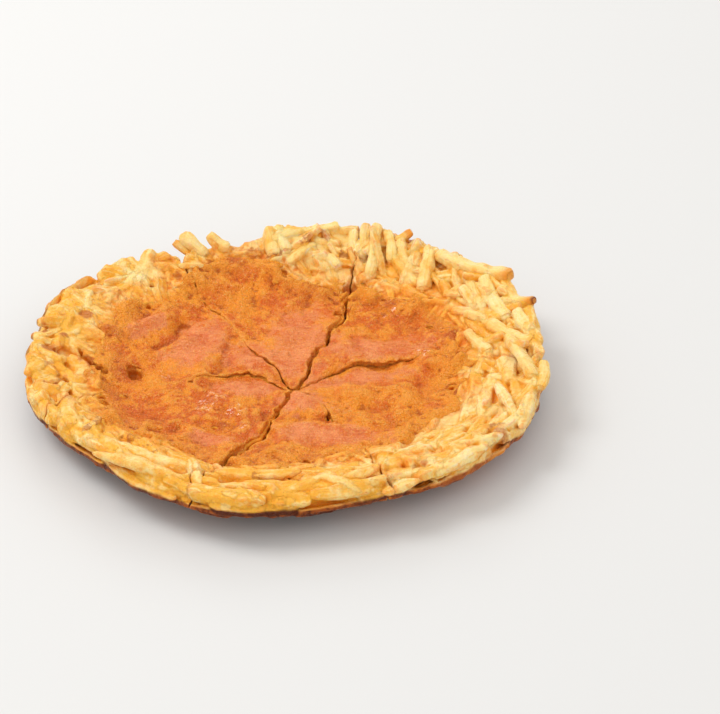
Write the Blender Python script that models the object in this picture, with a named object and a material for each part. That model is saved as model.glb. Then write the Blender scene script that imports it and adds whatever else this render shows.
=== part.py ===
"""A cheese potato pancake, cut in place into six wedges that still lie in the round.

Shredded potato is fried into a shallow dished disc: flat and thin in the middle, with a thicker
rim that has curled up off the ground. A sheet of cheese has melted over the middle and was cut
with it. Each wedge is one solid of potato with one solid sheet of cheese on it.

Metres, +Z up. The origin is on the ground, under the middle of the pancake's box.
Angles are in degrees, anticlockwise from +X. The rim nearest to the eater is at -90.
"""

import math

import bpy
from mathutils import Vector, noise

# The pancake
RIM_RADII = {
    -168: 0.1245, -150: 0.118, -128: 0.113, -104: 0.118, -74: 0.1135, -48: 0.118, -30: 0.122,
    -8: 0.1225, 10: 0.124, 28: 0.127, 44: 0.1245, 58: 0.125, 70: 0.126, 81: 0.119, 93: 0.115,
    103: 0.109, 113: 0.111, 123: 0.115, 136: 0.1205, 154: 0.126, 175: 0.1245,
}
CENTRE_THICKNESS = 0.0085
RIM_THICKNESS = 0.0135
RIM_INNER = 0.56  # shares of the way out, between which the potato thickens into the rim
RIM_OUTER = 0.86
FLAT_SHARE = 0.60  # the underside lies flat out to this share of the radius
RIM_LIFT = 0.0130  # and has curled up this far at the outer edge
LIFT_POWER = 1.6
EDGE_ROUND = 0.085  # share of the radius over which the outer edge rounds off
EDGE_DROP = 0.0055
EDGE_UNDERCUT = 0.0020
RIM_LUMP = 0.0021
MIDDLE_LUMP = 0.0009
LUMP_SIZE = 0.015

# The cheese
CHEESE_RADII = {
    -167: 0.095, -146: 0.094, -121: 0.081, -98: 0.075, -74: 0.085, -58: 0.081, -22: 0.088,
    1: 0.086, 17: 0.095, 52: 0.088, 76: 0.086, 102: 0.102, 116: 0.097, 132: 0.086, 152: 0.099,
    174: 0.100,
}
CHEESE_THICKNESS = 0.0019
CHEESE_EDGE_SHARE = 0.45  # how much of that thickness is left at the melted outer edge
SEAT_GAP = 0.0003

# The cuts meet at one point. Each wanders through these angles, at distances from that point.
CUT_CENTRE = Vector((0.0036, -0.0107))
CUT_GAP = 0.0013
CUT_TEAR = 0.0011  # how far a torn cut edge wanders, over each
TEAR_LENGTH = 0.012
NEAREST_CUT_STOP = 0.006
CUT_REACH = 0.118  # from there to the rim, roughly
CHEESE_REACH = 0.088
TIP_WIDTH = 0.0012
CUTS = {
    "right": {0.006: 42, 0.023: 39, 0.034: 34, 0.057: 26, 0.080: 21, 0.093: 11, 0.120: 3},
    "upper_right": {0.006: 68, 0.030: 72, 0.060: 71, 0.120: 76},
    "upper_left": {0.006: 118, 0.050: 121, 0.120: 121},
    "left": {0.006: 144, 0.022: 141, 0.034: 156, 0.052: 171, 0.075: 180, 0.120: 197},
    "lower_left": {0.006: 240, 0.028: 248, 0.060: 243, 0.120: 246},
    "lower_right": {0.006: 320, 0.020: 316, 0.030: 309, 0.055: 307, 0.080: 299, 0.120: 294},
}
# Each wedge lies between two cuts, and has risen a little from its neighbours.
WEDGES = {
    "right_back": ("right", "upper_right", 0.0009),
    "back": ("upper_right", "upper_left", 0.0014),
    "left_back": ("upper_left", "left", 0.0008),
    "left_front": ("left", "lower_left", 0.0003),
    "front": ("lower_left", "lower_right", 0.0005),
    "right_front": ("lower_right", "right", 0.0),
}

# The mesh
CHEESE_RINGS = 10
RIM_RINGS = 7
COLUMNS = 14
SETTLING_ROUNDS = 4

POTATO_COLOUR = (0.93, 0.62, 0.22, 1)
CHEESE_COLOUR = (0.82, 0.26, 0.05, 1)


def smooth_step(low, high, value):
    share = min(max((value - low) / (high - low), 0.0), 1.0)
    return share * share * (3 - 2 * share)


def curve_through(stops, place):
    """The value at a place on a smooth curve through (place, value) stops, level past its ends."""
    slopes = [(b[1] - a[1]) / (b[0] - a[0]) for a, b in zip(stops, stops[1:])]
    tangents = [slopes[0]] + [(a + b) / 2 for a, b in zip(slopes, slopes[1:])] + [slopes[-1]]
    for i, ((low, start), (high, end)) in enumerate(zip(stops, stops[1:])):
        if low <= place < high:
            span = high - low
            t = (place - low) / span
            rise = span * (1 - t) * t * ((1 - t) * tangents[i] - t * tangents[i + 1])
            return start + (end - start) * t * t * (3 - 2 * t) + rise
    return stops[0][1] if place < stops[0][0] else stops[-1][1]


def uneven_edge(radii, angle):
    """The radius, at an angle in radians, of a closed edge through the given radii."""
    stops = sorted(radii.items())
    before = [(a - 360, r) for a, r in stops[-2:]]
    after = [(a + 360, r) for a, r in stops[:2]]
    return curve_through(before + stops + after, math.degrees(angle))


def outer_radius(angle):
    return uneven_edge(RIM_RADII, angle)


def cheese_radius(angle):
    return uneven_edge(CHEESE_RADII, angle)


def lump(x, y, layer):
    return noise.noise(Vector((x / LUMP_SIZE, y / LUMP_SIZE, layer)))


def share_out(x, y):
    """How far out a point lies, from 0 at the pancake's centre to 1 at its outer edge."""
    return math.hypot(x, y) / outer_radius(math.atan2(y, x))


def bottom_height(x, y):
    share = share_out(x, y)
    lift = RIM_LIFT * max((share - FLAT_SHARE) / (1 - FLAT_SHARE), 0) ** LIFT_POWER
    rim = smooth_step(FLAT_SHARE, 1, share)
    edge = smooth_step(1 - EDGE_ROUND, 1, share)
    return lift + rim * 0.6 * RIM_LUMP * (1 + lump(x, y, 9)) + EDGE_UNDERCUT * edge


def top_height(x, y, risen):
    share = share_out(x, y)
    lift = RIM_LIFT * max((share - FLAT_SHARE) / (1 - FLAT_SHARE), 0) ** LIFT_POWER
    rim = smooth_step(RIM_INNER, RIM_OUTER, share)
    thickness = CENTRE_THICKNESS + rim * (RIM_THICKNESS - CENTRE_THICKNESS) + risen
    uneven = (MIDDLE_LUMP + rim * (RIM_LUMP - MIDDLE_LUMP)) * lump(x, y, 2)
    return lift + thickness + uneven - EDGE_DROP * smooth_step(1 - EDGE_ROUND, 1, share)


def distance_to(edge, angle):
    """How far a ray from the cuts' centre runs before it crosses the given round edge."""
    near, far = 0.0, 2 * CUT_REACH
    for _ in range(30):
        middle = (near + far) / 2
        x = CUT_CENTRE.x + middle * math.cos(angle)
        y = CUT_CENTRE.y + middle * math.sin(angle)
        if math.hypot(x, y) < edge(math.atan2(y, x)):
            near = middle
        else:
            far = middle
    return near


def cut_angle(cut, distance):
    """The angle of a cut at a distance from the cuts' centre, with its torn edge's wandering."""
    tear = CUT_TEAR * noise.noise(Vector((distance / TEAR_LENGTH, CUTS[cut][NEAREST_CUT_STOP], 0)))
    return math.radians(curve_through(list(CUTS[cut].items()), distance)) + tear / distance


def wedge_sides(start, end, distance):
    """The angles of a wedge's two sides, half a gap inside its cuts."""
    margin = CUT_GAP / 2 / distance
    low, high = cut_angle(start, distance) + margin, cut_angle(end, distance) - margin
    if high < low:
        high += 2 * math.pi
    return low, high


def wedge_tip(start, end):
    """The distance from the cuts' centre at which a wedge is first wide enough for its blunt tip."""
    distance = CUT_GAP
    low, high = 0.0, 0.0
    while not TIP_WIDTH < (high - low) * distance < math.pi * distance:
        distance += 0.0002
        low, high = wedge_sides(start, end, distance)
    return distance


def grid_point(start, end, tip, inner, outer, across):
    """A point of a wedge, by its shares of the way to the cheese's edge, on to the rim, and across.

    The cuts curve, so the angle depends on the distance and the two are settled together.
    """
    along = tip + (CHEESE_REACH - tip) * inner + (CUT_REACH - CHEESE_REACH) * outer
    for _ in range(SETTLING_ROUNDS):
        low, high = wedge_sides(start, end, along)
        angle = low + (high - low) * across
        cheese_end = distance_to(cheese_radius, angle)
        rim_end = distance_to(outer_radius, angle)
        along = tip + (cheese_end - tip) * inner + (rim_end - cheese_end) * outer
    return CUT_CENTRE + Vector((math.cos(angle), math.sin(angle))) * along


def ring_points(start, end):
    """Rings of points from the wedge's tip to its outer edge. The cheese ends on CHEESE_RINGS."""
    tip = wedge_tip(start, end)
    rings = []
    for ring in range(CHEESE_RINGS + RIM_RINGS + 1):
        inner = min(ring / CHEESE_RINGS, 1)
        outer = max(ring - CHEESE_RINGS, 0) / RIM_RINGS
        shares = [column / COLUMNS for column in range(COLUMNS + 1)]
        rings.append([grid_point(start, end, tip, inner, outer, across) for across in shares])
    return rings


def slab_faces(rings, columns):
    """Triangles of a slab whose top and bottom are grids of the same rings and columns."""
    width = columns + 1
    count = rings * width

    def quad(a, b, c, d):
        return [(a, b, c), (a, c, d)]

    faces = []
    for ring in range(rings - 1):
        for column in range(columns):
            a = ring * width + column
            b, c, d = a + width, a + width + 1, a + 1
            faces += quad(a, b, c, d)
            faces += [tuple(count + i for i in reversed(f)) for f in quad(a, b, c, d)]
    border = [r * width for r in range(rings)]
    border += [(rings - 1) * width + c for c in range(1, width)]
    border += [r * width + columns for r in reversed(range(rings - 1))]
    border += [c for c in reversed(range(1, columns))]
    for here, after in zip(border, border[1:] + border[:1]):
        faces += quad(here, count + here, count + after, after)
    return faces


def add_slab(name, tops, bottoms, material):
    """A closed solid between two grids of points, with their middle at the origin's axis."""
    mesh = bpy.data.meshes.new(name)
    points = [p for row in tops for p in row] + [p for row in bottoms for p in row]
    mesh.from_pydata([p - BOX_MIDDLE for p in points], [], slab_faces(len(tops), COLUMNS))
    mesh.materials.append(material)
    mesh.validate()
    bpy.context.collection.objects.link(bpy.data.objects.new(name, mesh))


def raised(rings, height):
    return [[Vector((p.x, p.y, height(p.x, p.y))) for p in row] for row in rings]


def add_wedge(name, start, end, risen, potato, cheese):
    rings = ring_points(start, end)
    tops = raised(rings, lambda x, y: top_height(x, y, risen))
    add_slab(f"potato_{name}", tops, raised(rings, bottom_height), potato)

    seat = [[p + Vector((0, 0, SEAT_GAP)) for p in row] for row in tops[: CHEESE_RINGS + 1]]
    melted = []
    for ring, row in enumerate(seat):
        edge = smooth_step(0.75, 1, ring / CHEESE_RINGS)
        thickness = CHEESE_THICKNESS * (1 - edge * (1 - CHEESE_EDGE_SHARE))
        melted.append([p + Vector((0, 0, thickness)) for p in row])
    add_slab(f"cheese_{name}", melted, seat, cheese)


def new_material(name, colour, roughness):
    material = bpy.data.materials.new(name)
    material.use_nodes = True
    shader = material.node_tree.nodes["Principled BSDF"]
    shader.inputs["Base Color"].default_value = colour
    shader.inputs["Roughness"].default_value = roughness
    shader.inputs["Metallic"].default_value = 0
    return material


def box_middle():
    """The middle of the outline's box, which becomes the origin."""
    angles = [math.tau * (step / 720 - 0.5) for step in range(720)]
    xs = [outer_radius(a) * math.cos(a) for a in angles]
    ys = [outer_radius(a) * math.sin(a) for a in angles]
    return Vector(((min(xs) + max(xs)) / 2, (min(ys) + max(ys)) / 2, 0))


BOX_MIDDLE = box_middle()


def main():
    for obj in list(bpy.data.objects):
        bpy.data.objects.remove(obj)
    potato = new_material("fried_potato", POTATO_COLOUR, 0.55)
    cheese = new_material("melted_cheese", CHEESE_COLOUR, 0.4)
    for name, (start, end, risen) in WEDGES.items():
        add_wedge(name, start, end, risen, potato, cheese)


main()
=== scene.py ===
import math

import bpy
import numpy as np
import openvdb
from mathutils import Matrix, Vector


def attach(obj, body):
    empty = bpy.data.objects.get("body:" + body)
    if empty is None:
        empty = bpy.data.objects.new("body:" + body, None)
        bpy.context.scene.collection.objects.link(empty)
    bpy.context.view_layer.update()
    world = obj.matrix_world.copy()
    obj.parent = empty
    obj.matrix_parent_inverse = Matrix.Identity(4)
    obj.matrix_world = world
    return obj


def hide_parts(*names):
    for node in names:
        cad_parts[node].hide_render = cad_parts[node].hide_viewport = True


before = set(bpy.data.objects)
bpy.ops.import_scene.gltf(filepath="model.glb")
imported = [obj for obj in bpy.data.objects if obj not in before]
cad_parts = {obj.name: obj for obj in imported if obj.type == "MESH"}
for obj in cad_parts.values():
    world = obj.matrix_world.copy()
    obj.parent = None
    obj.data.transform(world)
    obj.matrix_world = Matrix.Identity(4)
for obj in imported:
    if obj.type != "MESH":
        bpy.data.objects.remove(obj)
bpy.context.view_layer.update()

form = {
    "rimRadii": {  # by degrees round the middle, as all such tables here
        -168: 124.5, -150: 118, -128: 113, -104: 118, -74: 113.5, -48: 118, -30: 122,
        -8: 122.5, 10: 124, 28: 127, 44: 124.5, 58: 125, 70: 126, 81: 119, 93: 115,
        103: 109, 113: 111, 123: 115, 136: 120.5, 154: 126, 175: 124.5,
    },
    "cheeseRadii": {
        -163: 97, -148: 96, -136: 89, -108: 78, -84: 75, -57: 74, -28: 80, -16: 87, -1: 86, 13: 92, 30: 97,
        44: 95, 53: 91, 66: 90, 73: 86, 93: 89, 101: 101, 117: 98, 133: 93, 148: 99, 162: 98, 177: 97,
    },
    "cutCentre": (3.6, -10.7),
    "middleThickness": 8.5,
    "rimThickness": 13.5,
    "rimInner": 0.56,  # shares of the way out, between which the potato thickens into the rim
    "rimOuter": 0.86,
    "flatShare": 0.60,  # the underside lies flat out to here
    "rimLift": 13.0,
    "liftPower": 1.6,
    "edgeRise": 0.7,
    "rimExtra": {  # how far the shreds stand above the even rim
        -170: 0.3, -90: 0, 0: 0.6, 22: 1.6, 40: 2.2, 58: 0.8, 78: 2.6, 90: 3.2, 94.5: 3.0, 98: -1.7,
        113: -2.0, 124: 0.2, 160: 0.4,
    },
}
cuts = {  # the direction of each cut, by distance from the middle
    "right": {6: 42, 23: 39, 34: 34, 57: 26, 80: 21, 93: 11, 120: 3},
    "upperRight": {6: 68, 30: 72, 60: 71, 120: 76},
    "upperLeft": {6: 118, 50: 121, 120: 121},
    "left": {6: 144, 22: 141, 34: 156, 52: 171, 75: 180, 120: 197},
    "lowerLeft": {6: 240, 28: 248, 60: 243, 120: 246},
    "lowerRight": {6: 320, 20: 316, 30: 309, 55: 307, 80: 299, 120: 294},
}
# By distance from the middle: how wide each cut gapes in the cheese, how strongly its two sides differ in
# height, and how far the cheese of its start side (1) or end side (-1) hangs over the other. The wander is
# how far its torn edge strays.
cutStyle = {
    "right": {
        "gap": {0: 0.7, 14: 0.5, 40: 0.4, 56: 0.1, 66: -1.0, 88: -1.0, 97: 0.2, 130: 0.3},
        "step": {0: 0.2, 22: 0.3, 36: 1, 54: 1, 64: 0.2, 76: 0, 130: 0},
        "lip": {"side": 1, "reach": {0: 0.1, 22: 0.4, 36: 2.0, 52: 2.2, 62: 0.4, 72: 0, 130: 0}},
        "wander": 1.4,
    },
    "upperRight": {
        "gap": {0: 1.0, 20: 1.3, 60: 1.3, 76: 2.4, 92: 2.2, 102: 0.8, 130: 0.6},
        "step": {0: 1, 90: 1, 110: 0.3, 130: 0},
        "wander": 2.2,
    },
    "upperLeft": {
        "gap": {
            0: 0.7, 30: 0.4, 40: 0.2, 51: -0.8, 68: -0.9, 77: 1.0, 83: -0.2, 96: -0.3, 104: 0.6, 130: 0.8,
        },
        "step": {0: 0.8, 36: 1, 56: 0.3, 90: 0.2, 130: 0},
        "lip": {"side": -1, "reach": {0: 0.3, 25: 1.2, 42: 1.2, 56: 0.1, 90: 0, 130: 0}},
        "wander": 1.6,
    },
    "left": {
        "gap": {0: 1.0, 20: 0.6, 38: 0.3, 50: -1.0, 88: -1.0, 97: 0.3, 130: 0.3},
        "step": {0: 0.6, 12: 1, 40: 1, 54: 0, 130: 0},
        "lip": {"side": -1, "reach": {0: 0.2, 12: 1.0, 26: 1.8, 40: 1.2, 52: 0, 130: 0}},
        "wander": 1.7,
    },
    "lowerLeft": {
        "gap": {0: 1.2, 20: 1.9, 40: 2.8, 54: 2.2, 76: 0.6, 130: 0.5},
        "step": {0: 0.7, 20: 1, 60: 1, 80: 0.3, 130: 0},
        "wander": 2.2,
    },
    "lowerRight": {
        "gap": {0: 0.9, 25: 0.9, 32: 0.3, 44: -1.0, 70: -1.0, 80: 0.3, 130: 0.3},
        "step": {0: 0.8, 30: 1, 44: 0.1, 130: 0},
        "lip": {"side": -1, "reach": {0: 0.2, 14: 1.2, 26: 1.4, 38: 0.4, 50: 0, 130: 0}},
        "wander": 1.8,
    },
}
lipLook = {"thick": 1.3, "round": 1.5}
potatoGap = {"share": 0.9, "least": 0.3, "most": 0.8}
cheeseGap = {"share": 1.0, "least": -1.0, "most": 9.0}
wedges = {
    "right_back": {"start": "right", "end": "upperRight", "risen": 0.8, "edges": (1.1, -0.3)},
    "back": {"start": "upperRight", "end": "upperLeft", "risen": 1.1, "edges": (0.5, 0.6)},
    "left_back": {"start": "upperLeft", "end": "left", "risen": 0.8, "edges": (-0.6, 0.5)},
    "left_front": {"start": "left", "end": "lowerLeft", "risen": 0.3, "edges": (-0.4, 0.9)},
    "front": {"start": "lowerLeft", "end": "lowerRight", "risen": 0.5, "edges": (-0.6, 0.6)},
    "right_front": {"start": "lowerRight", "end": "right", "risen": 0.0, "edges": (-0.5, -1.5)},
}
cells = {"step": 0.62, "margin": 3.0, "lowest": -1.6, "highest": 36.0}
metresPerMillimetre = 0.001


def smoothStep(low, high, value):
    share = np.clip((value - low) / (high - low), 0, 1)
    return share * share * (3 - 2 * share)


def curveThrough(stops, places):
    xs, ys = (np.array(column, float) for column in zip(*sorted(stops.items())))
    slopes = np.diff(ys) / np.diff(xs)
    tangents = np.concatenate([slopes[:1], (slopes[1:] + slopes[:-1]) / 2, slopes[-1:]])
    i = np.clip(np.searchsorted(xs, places, side="right") - 1, 0, len(xs) - 2)
    span = xs[i + 1] - xs[i]
    t = np.clip((places - xs[i]) / span, 0, 1)
    bow = span * (1 - t) * t * ((1 - t) * tangents[i] - t * tangents[i + 1])
    return ys[i] + (ys[i + 1] - ys[i]) * t * t * (3 - 2 * t) + bow


def wrapDegrees(degrees):
    return (degrees + 180) % 360 - 180


def aroundCurve(stops, degrees):
    ends = sorted(stops)
    closed = {a - 360: stops[a] for a in ends[-2:]} | stops | {a + 360: stops[a] for a in ends[:2]}
    return curveThrough(closed, wrapDegrees(np.asarray(degrees)))


def rimRadius(degrees):
    return aroundCurve(form["rimRadii"], degrees)


def polar(x, y):
    return np.hypot(x, y), np.degrees(np.arctan2(y, x))


def shareOut(x, y):
    r, degrees = polar(x, y)
    return r / rimRadius(degrees)


def lift(share):
    climb = np.maximum((np.minimum(share, 1) - form["flatShare"]) / (1 - form["flatShare"]), 0)
    return form["rimLift"] * climb ** form["liftPower"]


def bottomAt(x, y):
    share = shareOut(x, y)
    return lift(share) + form["edgeRise"] * smoothStep(form["flatShare"], 1, share)


def topAt(x, y):
    share = shareOut(x, y)
    rim = smoothStep(form["rimInner"], form["rimOuter"], share)
    extra = aroundCurve(form["rimExtra"], polar(x, y)[1])
    thicker = form["rimThickness"] - form["middleThickness"] + extra
    return lift(share) + form["middleThickness"] + rim * thicker


def boxMiddle():
    degrees = np.arange(-180, 180, 0.5)
    x = rimRadius(degrees) * np.cos(np.radians(degrees))
    y = rimRadius(degrees) * np.sin(np.radians(degrees))
    return np.array([(x.min() + x.max()) / 2, (y.min() + y.max()) / 2, 0.0])


middle = boxMiddle()


def makeNoise(seed):
    size = 32
    lattice = (np.random.default_rng(seed).random((size, size, size)) * 2 - 1).astype(np.float32)

    def noise(x, y, z):
        corners, weights = [], []
        for place in np.broadcast_arrays(x, y, z):
            low = np.floor(place)
            part = (place - low).astype(np.float32)
            weights.append(part * part * (3 - 2 * part))
            corners.append(low.astype(np.int32) % size)
        (i, j, k), (u, v, w) = corners, weights
        i2, j2, k2 = (i + 1) % size, (j + 1) % size, (k + 1) % size
        levels = []
        for level in (k, k2):
            lowX = lattice[i, j, level] * (1 - u) + lattice[i2, j, level] * u
            highX = lattice[i, j2, level] * (1 - u) + lattice[i2, j2, level] * u
            levels.append(lowX * (1 - v) + highX * v)
        return levels[0] * (1 - w) + levels[1] * w

    return noise


lumpNoise, tearNoise, fineNoise, patchNoise = (makeNoise(seed) for seed in (11, 12, 13, 14))
fractalLook = {"bend": 0.4, "bendSize": 1.6, "turn": 0.7, "nextTurn": 1.1, "finer": 2.03, "fainter": 0.5}


def fractal(x, y, size, seed, rounds=3):
    # several sizes of noise, each turned, over a slightly bent plane
    bent = fractalLook["bend"] * size
    bendX, bendY = x / size / fractalLook["bendSize"], y / size / fractalLook["bendSize"]
    u = x + bent * lumpNoise(bendX, bendY, seed + 3.3)
    v = y + bent * lumpNoise(bendX, bendY, seed + 7.7)
    total, amount = 0, 1.0
    for k in range(rounds):
        turn = fractalLook["turn"] + fractalLook["nextTurn"] * k
        cosine, sine = math.cos(turn), math.sin(turn)
        layer = fineNoise((u * cosine + v * sine) / size, (v * cosine - u * sine) / size, seed + 1.37 * k)
        total = total + amount * layer
        size, amount = size / fractalLook["finer"], amount * fractalLook["fainter"]
    return total


def softMin(a, b, width):
    mix = np.clip(0.5 + 0.5 * (b - a) / width, 0, 1)
    return b + (a - b) * mix - width * mix * (1 - mix)


def softMax(a, b, width):
    return -softMin(-a, -b, width)


def boxBlur(values, reach):
    values = values.astype(np.float32)
    for axis in range(values.ndim):
        pad = [(0, 0)] * values.ndim
        pad[axis] = (reach + 1, reach)
        total = np.cumsum(np.pad(values, pad, mode="edge"), axis=axis, dtype=np.float64)
        long = np.take(total, range(2 * reach + 1, total.shape[axis]), axis=axis)
        short = np.take(total, range(0, total.shape[axis] - 2 * reach - 1), axis=axis)
        values = ((long - short) / (2 * reach + 1)).astype(np.float32)
    return values


def cutSides(x, y, wedge):
    # how far past each of the wedge's two cuts a place lies, and its distance from where the cuts meet
    distance, degrees = polar(x - form["cutCentre"][0], y - form["cutCentre"][1])
    distance = np.maximum(distance, 0.4)
    start, end = (curveThrough(cuts[wedge[key]], distance) for key in ("start", "end"))
    half = ((end - start) % 360) / 2
    off = wrapDegrees(degrees - start - half)
    past = [np.sin(np.radians(np.clip(side * off - half, -75, 75))) * distance for side in (-1, 1)]
    return past[0], past[1], distance


tornFace = {"size": 3.6, "amount": 1.5, "from": 45, "to": 95, "inner": 0.5}
# The torn edge's wandering and its raggedness: size, strength and slice of each layer of noise, and how
# far the slice moves from one side of the cut to the other.
tornEdge = {
    "wander": [(7.5, 1.0, 0.5, 0), (3.0, 0.5, 7.5, 0)],
    "ragged": [(2.6, 0.6, 20.5, 5), (1.2, 0.35, 13.5, -5)],
    "straightTo": (2, 14),
    "inward": 0.3,  # how little of the raggedness stands out of the edge
    "raggedGap": 1.1,  # a gap this wide is fully ragged
}


def roughCut(block, zs):
    # how a torn face wanders through the depth, more so in the rim
    size = tornFace["size"]
    outer = smoothStep(tornFace["from"], tornFace["to"], block.r)
    amount = tornFace["inner"] + (tornFace["amount"] - tornFace["inner"]) * outer
    noise = lumpNoise(block.x[:, :, None] / size, block.y[:, :, None] / size, zs[None, None, :] / size)
    return amount[:, :, None] * noise


def pastCut(block, name, side, past, limits):
    # how far past the torn edge of a cut, on its start or end side
    distance, seed = block.distance, 3.7 * sorted(cuts).index(name)
    wander, ragged = (
        sum(
            amount * tearNoise(distance / size, seed, part + moved * side)
            for size, amount, part, moved in tornEdge[key]
        )
        for key in ("wander", "ragged")
    )
    gap = curveThrough(cutStyle[name]["gap"], distance) * limits["share"]
    gap = np.clip(gap, limits["least"], limits["most"])
    inward = tornEdge["inward"]
    ragged = (np.maximum(ragged, -inward) + inward) * np.clip(gap / tornEdge["raggedGap"], 0.2, 1.2)
    strayed = cutStyle[name]["wander"] * wander * smoothStep(*tornEdge["straightTo"], distance)
    return past + gap / 2 + side * strayed + ragged * limits["share"]


shredStyle = {
    "spread": {
        -170: 65, -140: 36, -115: 28, -90: 30, -60: 44, -35: 40, 0: 30, 25: 45, 50: 66, 72: 60, 84: 42,
        97: 42, 120: 65, 160: 80,
    },
    "tilt": {-170: 7, -120: 6, -60: 7, 0: 8, 25: 10, 50: 12, 75: 14, 100: 9, 130: 7, 160: 6},
    "length": {
        -170: 16, -140: 28, -100: 32, -60: 24, -35: 18, 0: 32, 30: 26, 60: 22, 90: 19, 120: 17, 160: 17,
    },
    "width": {
        -170: 4.9, -130: 4.9, -80: 4.7, -40: 4.8, 0: 5.0, 30: 4.9, 60: 4.6, 100: 4.5, 130: 5.6, 160: 5.4,
    },
    "fuse": {
        -170: 1.8, -120: 1.3, -85: 1.1, -55: 2.0, -20: 2.0, 4: 1.7, 22: 0.8, 65: 0.6, 80: 0.9, 95: 1.3,
        130: 2.0, 160: 2.2,
    },
    "golden": {
        -170: 0.5, -120: 0.5, -90: 0.85, -66: 0.35, -42: -0.15, 0: 0.15, 50: 0.05, 80: -0.3, 110: -0.1,
        130: 0.0, 160: 0.4,
    },
    "filled": {
        -170: 3.2, -120: 2.7, -85: 2.4, -45: 2.5, -10: 2.6, 25: 2.0, 65: 1.6, 85: 1.2, 100: 1.4, 130: 3.0,
        160: 3.4,
    },
    # How strong the painted shade in the gaps and creases between shreds is, by degrees round the middle.
    "paintedShadeStrength": {-170: 1.1, -100: 1.0, -45: 1.0, 0: 0.9, 40: 0.75, 80: 0.6, 110: 0.75, 145: 1.0},
}
shredRandom = {
    "seed": 41, "lengths": (1, 0.28), "leastLength": 9, "widths": (0.68, 1.3), "heights": (0.55, 0.9),
    "bend": (0.011, 0.004), "roll": 0.45, "squares": (0.3, 0.6), "insideShare": 0.985,
}
# How many of each kind, how far from the cheese's edge and the rim's they lie, how high in the mass, and
# how much of the usual spread and tilt they have.
shredKinds = {
    "top": {"count": 470, "past": (7, 5), "levels": (0.84, 1.07), "spread": 1, "tilt": 1},
    "side": {"count": 230, "past": (2.6, 7), "levels": (0.12, 0.98), "spread": 0.42, "tilt": 0.45},
    "under": {"count": 130, "past": (16, 6), "levels": (0.55, 0.85), "spread": 1, "tilt": 1},
    "base": {"count": 260, "past": (16, 6), "levels": (0.55, 0.85), "spread": 1, "tilt": 1},
}
baseShreds = {"length": 24, "usual": 0.4, "height": 2.6, "above": 1.2, "out": 0.96, "spread": 90}
# How a shred swells along its length: strength, pace and how its start differs, for two waves.
swellWaves = ((0.10, 0.25, 1.0), (0.05, 0.6, 2.3))


def style(name, degrees):
    return float(aroundCurve(shredStyle[name], degrees))


def makeShred(points, width, height, roll, tone, tips, fuse, square, skin=0.0, taper=(0.25, 1.2)):
    points = np.array(points, float)
    phase = points[0, 0] + points[-1, 1]
    gone = np.concatenate([[0], np.cumsum(np.linalg.norm(np.diff(points, axis=0), axis=1))])
    swell = sum((amount * np.sin(start * phase + gone * pace) for amount, pace, start in swellWaves), start=1)
    swell = swell * (1 - taper[0] * np.exp(-np.minimum(gone, gone[-1] - gone) / taper[1]))
    ways = np.gradient(points, axis=0)
    ways /= np.linalg.norm(ways, axis=1, keepdims=True)
    flat = np.cross(np.array([0, 0, 1.0]) + 1e-4, ways)
    flat /= np.linalg.norm(flat, axis=1, keepdims=True)
    across = flat * math.cos(roll) + np.cross(ways, flat) * math.sin(roll)
    return {
        "points": points, "across": across, "normal": np.cross(ways, across), "roll": roll, "swell": swell,
        "width": width / 2, "height": height / 2, "tone": tone, "skin": skin, "tips": tips, "fuse": fuse,
        "square": square,
    }


strand = {
    "spacing": 2.8, "bottom": 2.4, "top": 1.7, "stiff": 0.5, "sway": 0.35, "swayLength": 5.0, "lowest": 0.8,
}


def strandLine(random, x, y, heading, length, bend, level, tilt):
    # points along one shred that lies in the mass
    count = max(5, int(length / strand["spacing"]) + 1)
    along = np.linspace(-0.5, 0.5, count) * length
    turned = np.radians(heading) + bend * along
    gap = length / (count - 1)
    ends = []
    for steps, place in ((np.cos(turned), x), (np.sin(turned), y)):
        line = np.concatenate([[0], np.cumsum((steps[1:] + steps[:-1]) / 2)]) * gap
        ends.append(line - line.mean() + place)
    px, py = ends
    low, high = bottomAt(px, py) + strand["bottom"], topAt(px, py) - strand["top"]
    lying = low + (high - low) * level
    straight = np.interp(along, [along[0], along[-1]], [lying[0], lying[-1]])
    z = lying * (1 - strand["stiff"]) + straight * strand["stiff"] + np.tan(np.radians(tilt)) * along
    sway = random.normal(0, strand["sway"], 2)
    z += sway[0] * np.sin(along / strand["swayLength"] + sway[1] * 9)
    return np.stack([px, py, np.maximum(z, low - strand["lowest"])], 1)


def keepInside(points, limit):
    # the longest run of points that stays inside the rim
    inside = shareOut(points[:, 0], points[:, 1]) < limit
    best, run = (0, 0), 0
    for i, ok in enumerate([*inside, False]):
        if ok:
            run += 1
            continue
        if run > best[1] - best[0]:
            best = (i - run, i)
        run = 0
    return points[best[0]:best[1]]


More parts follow.
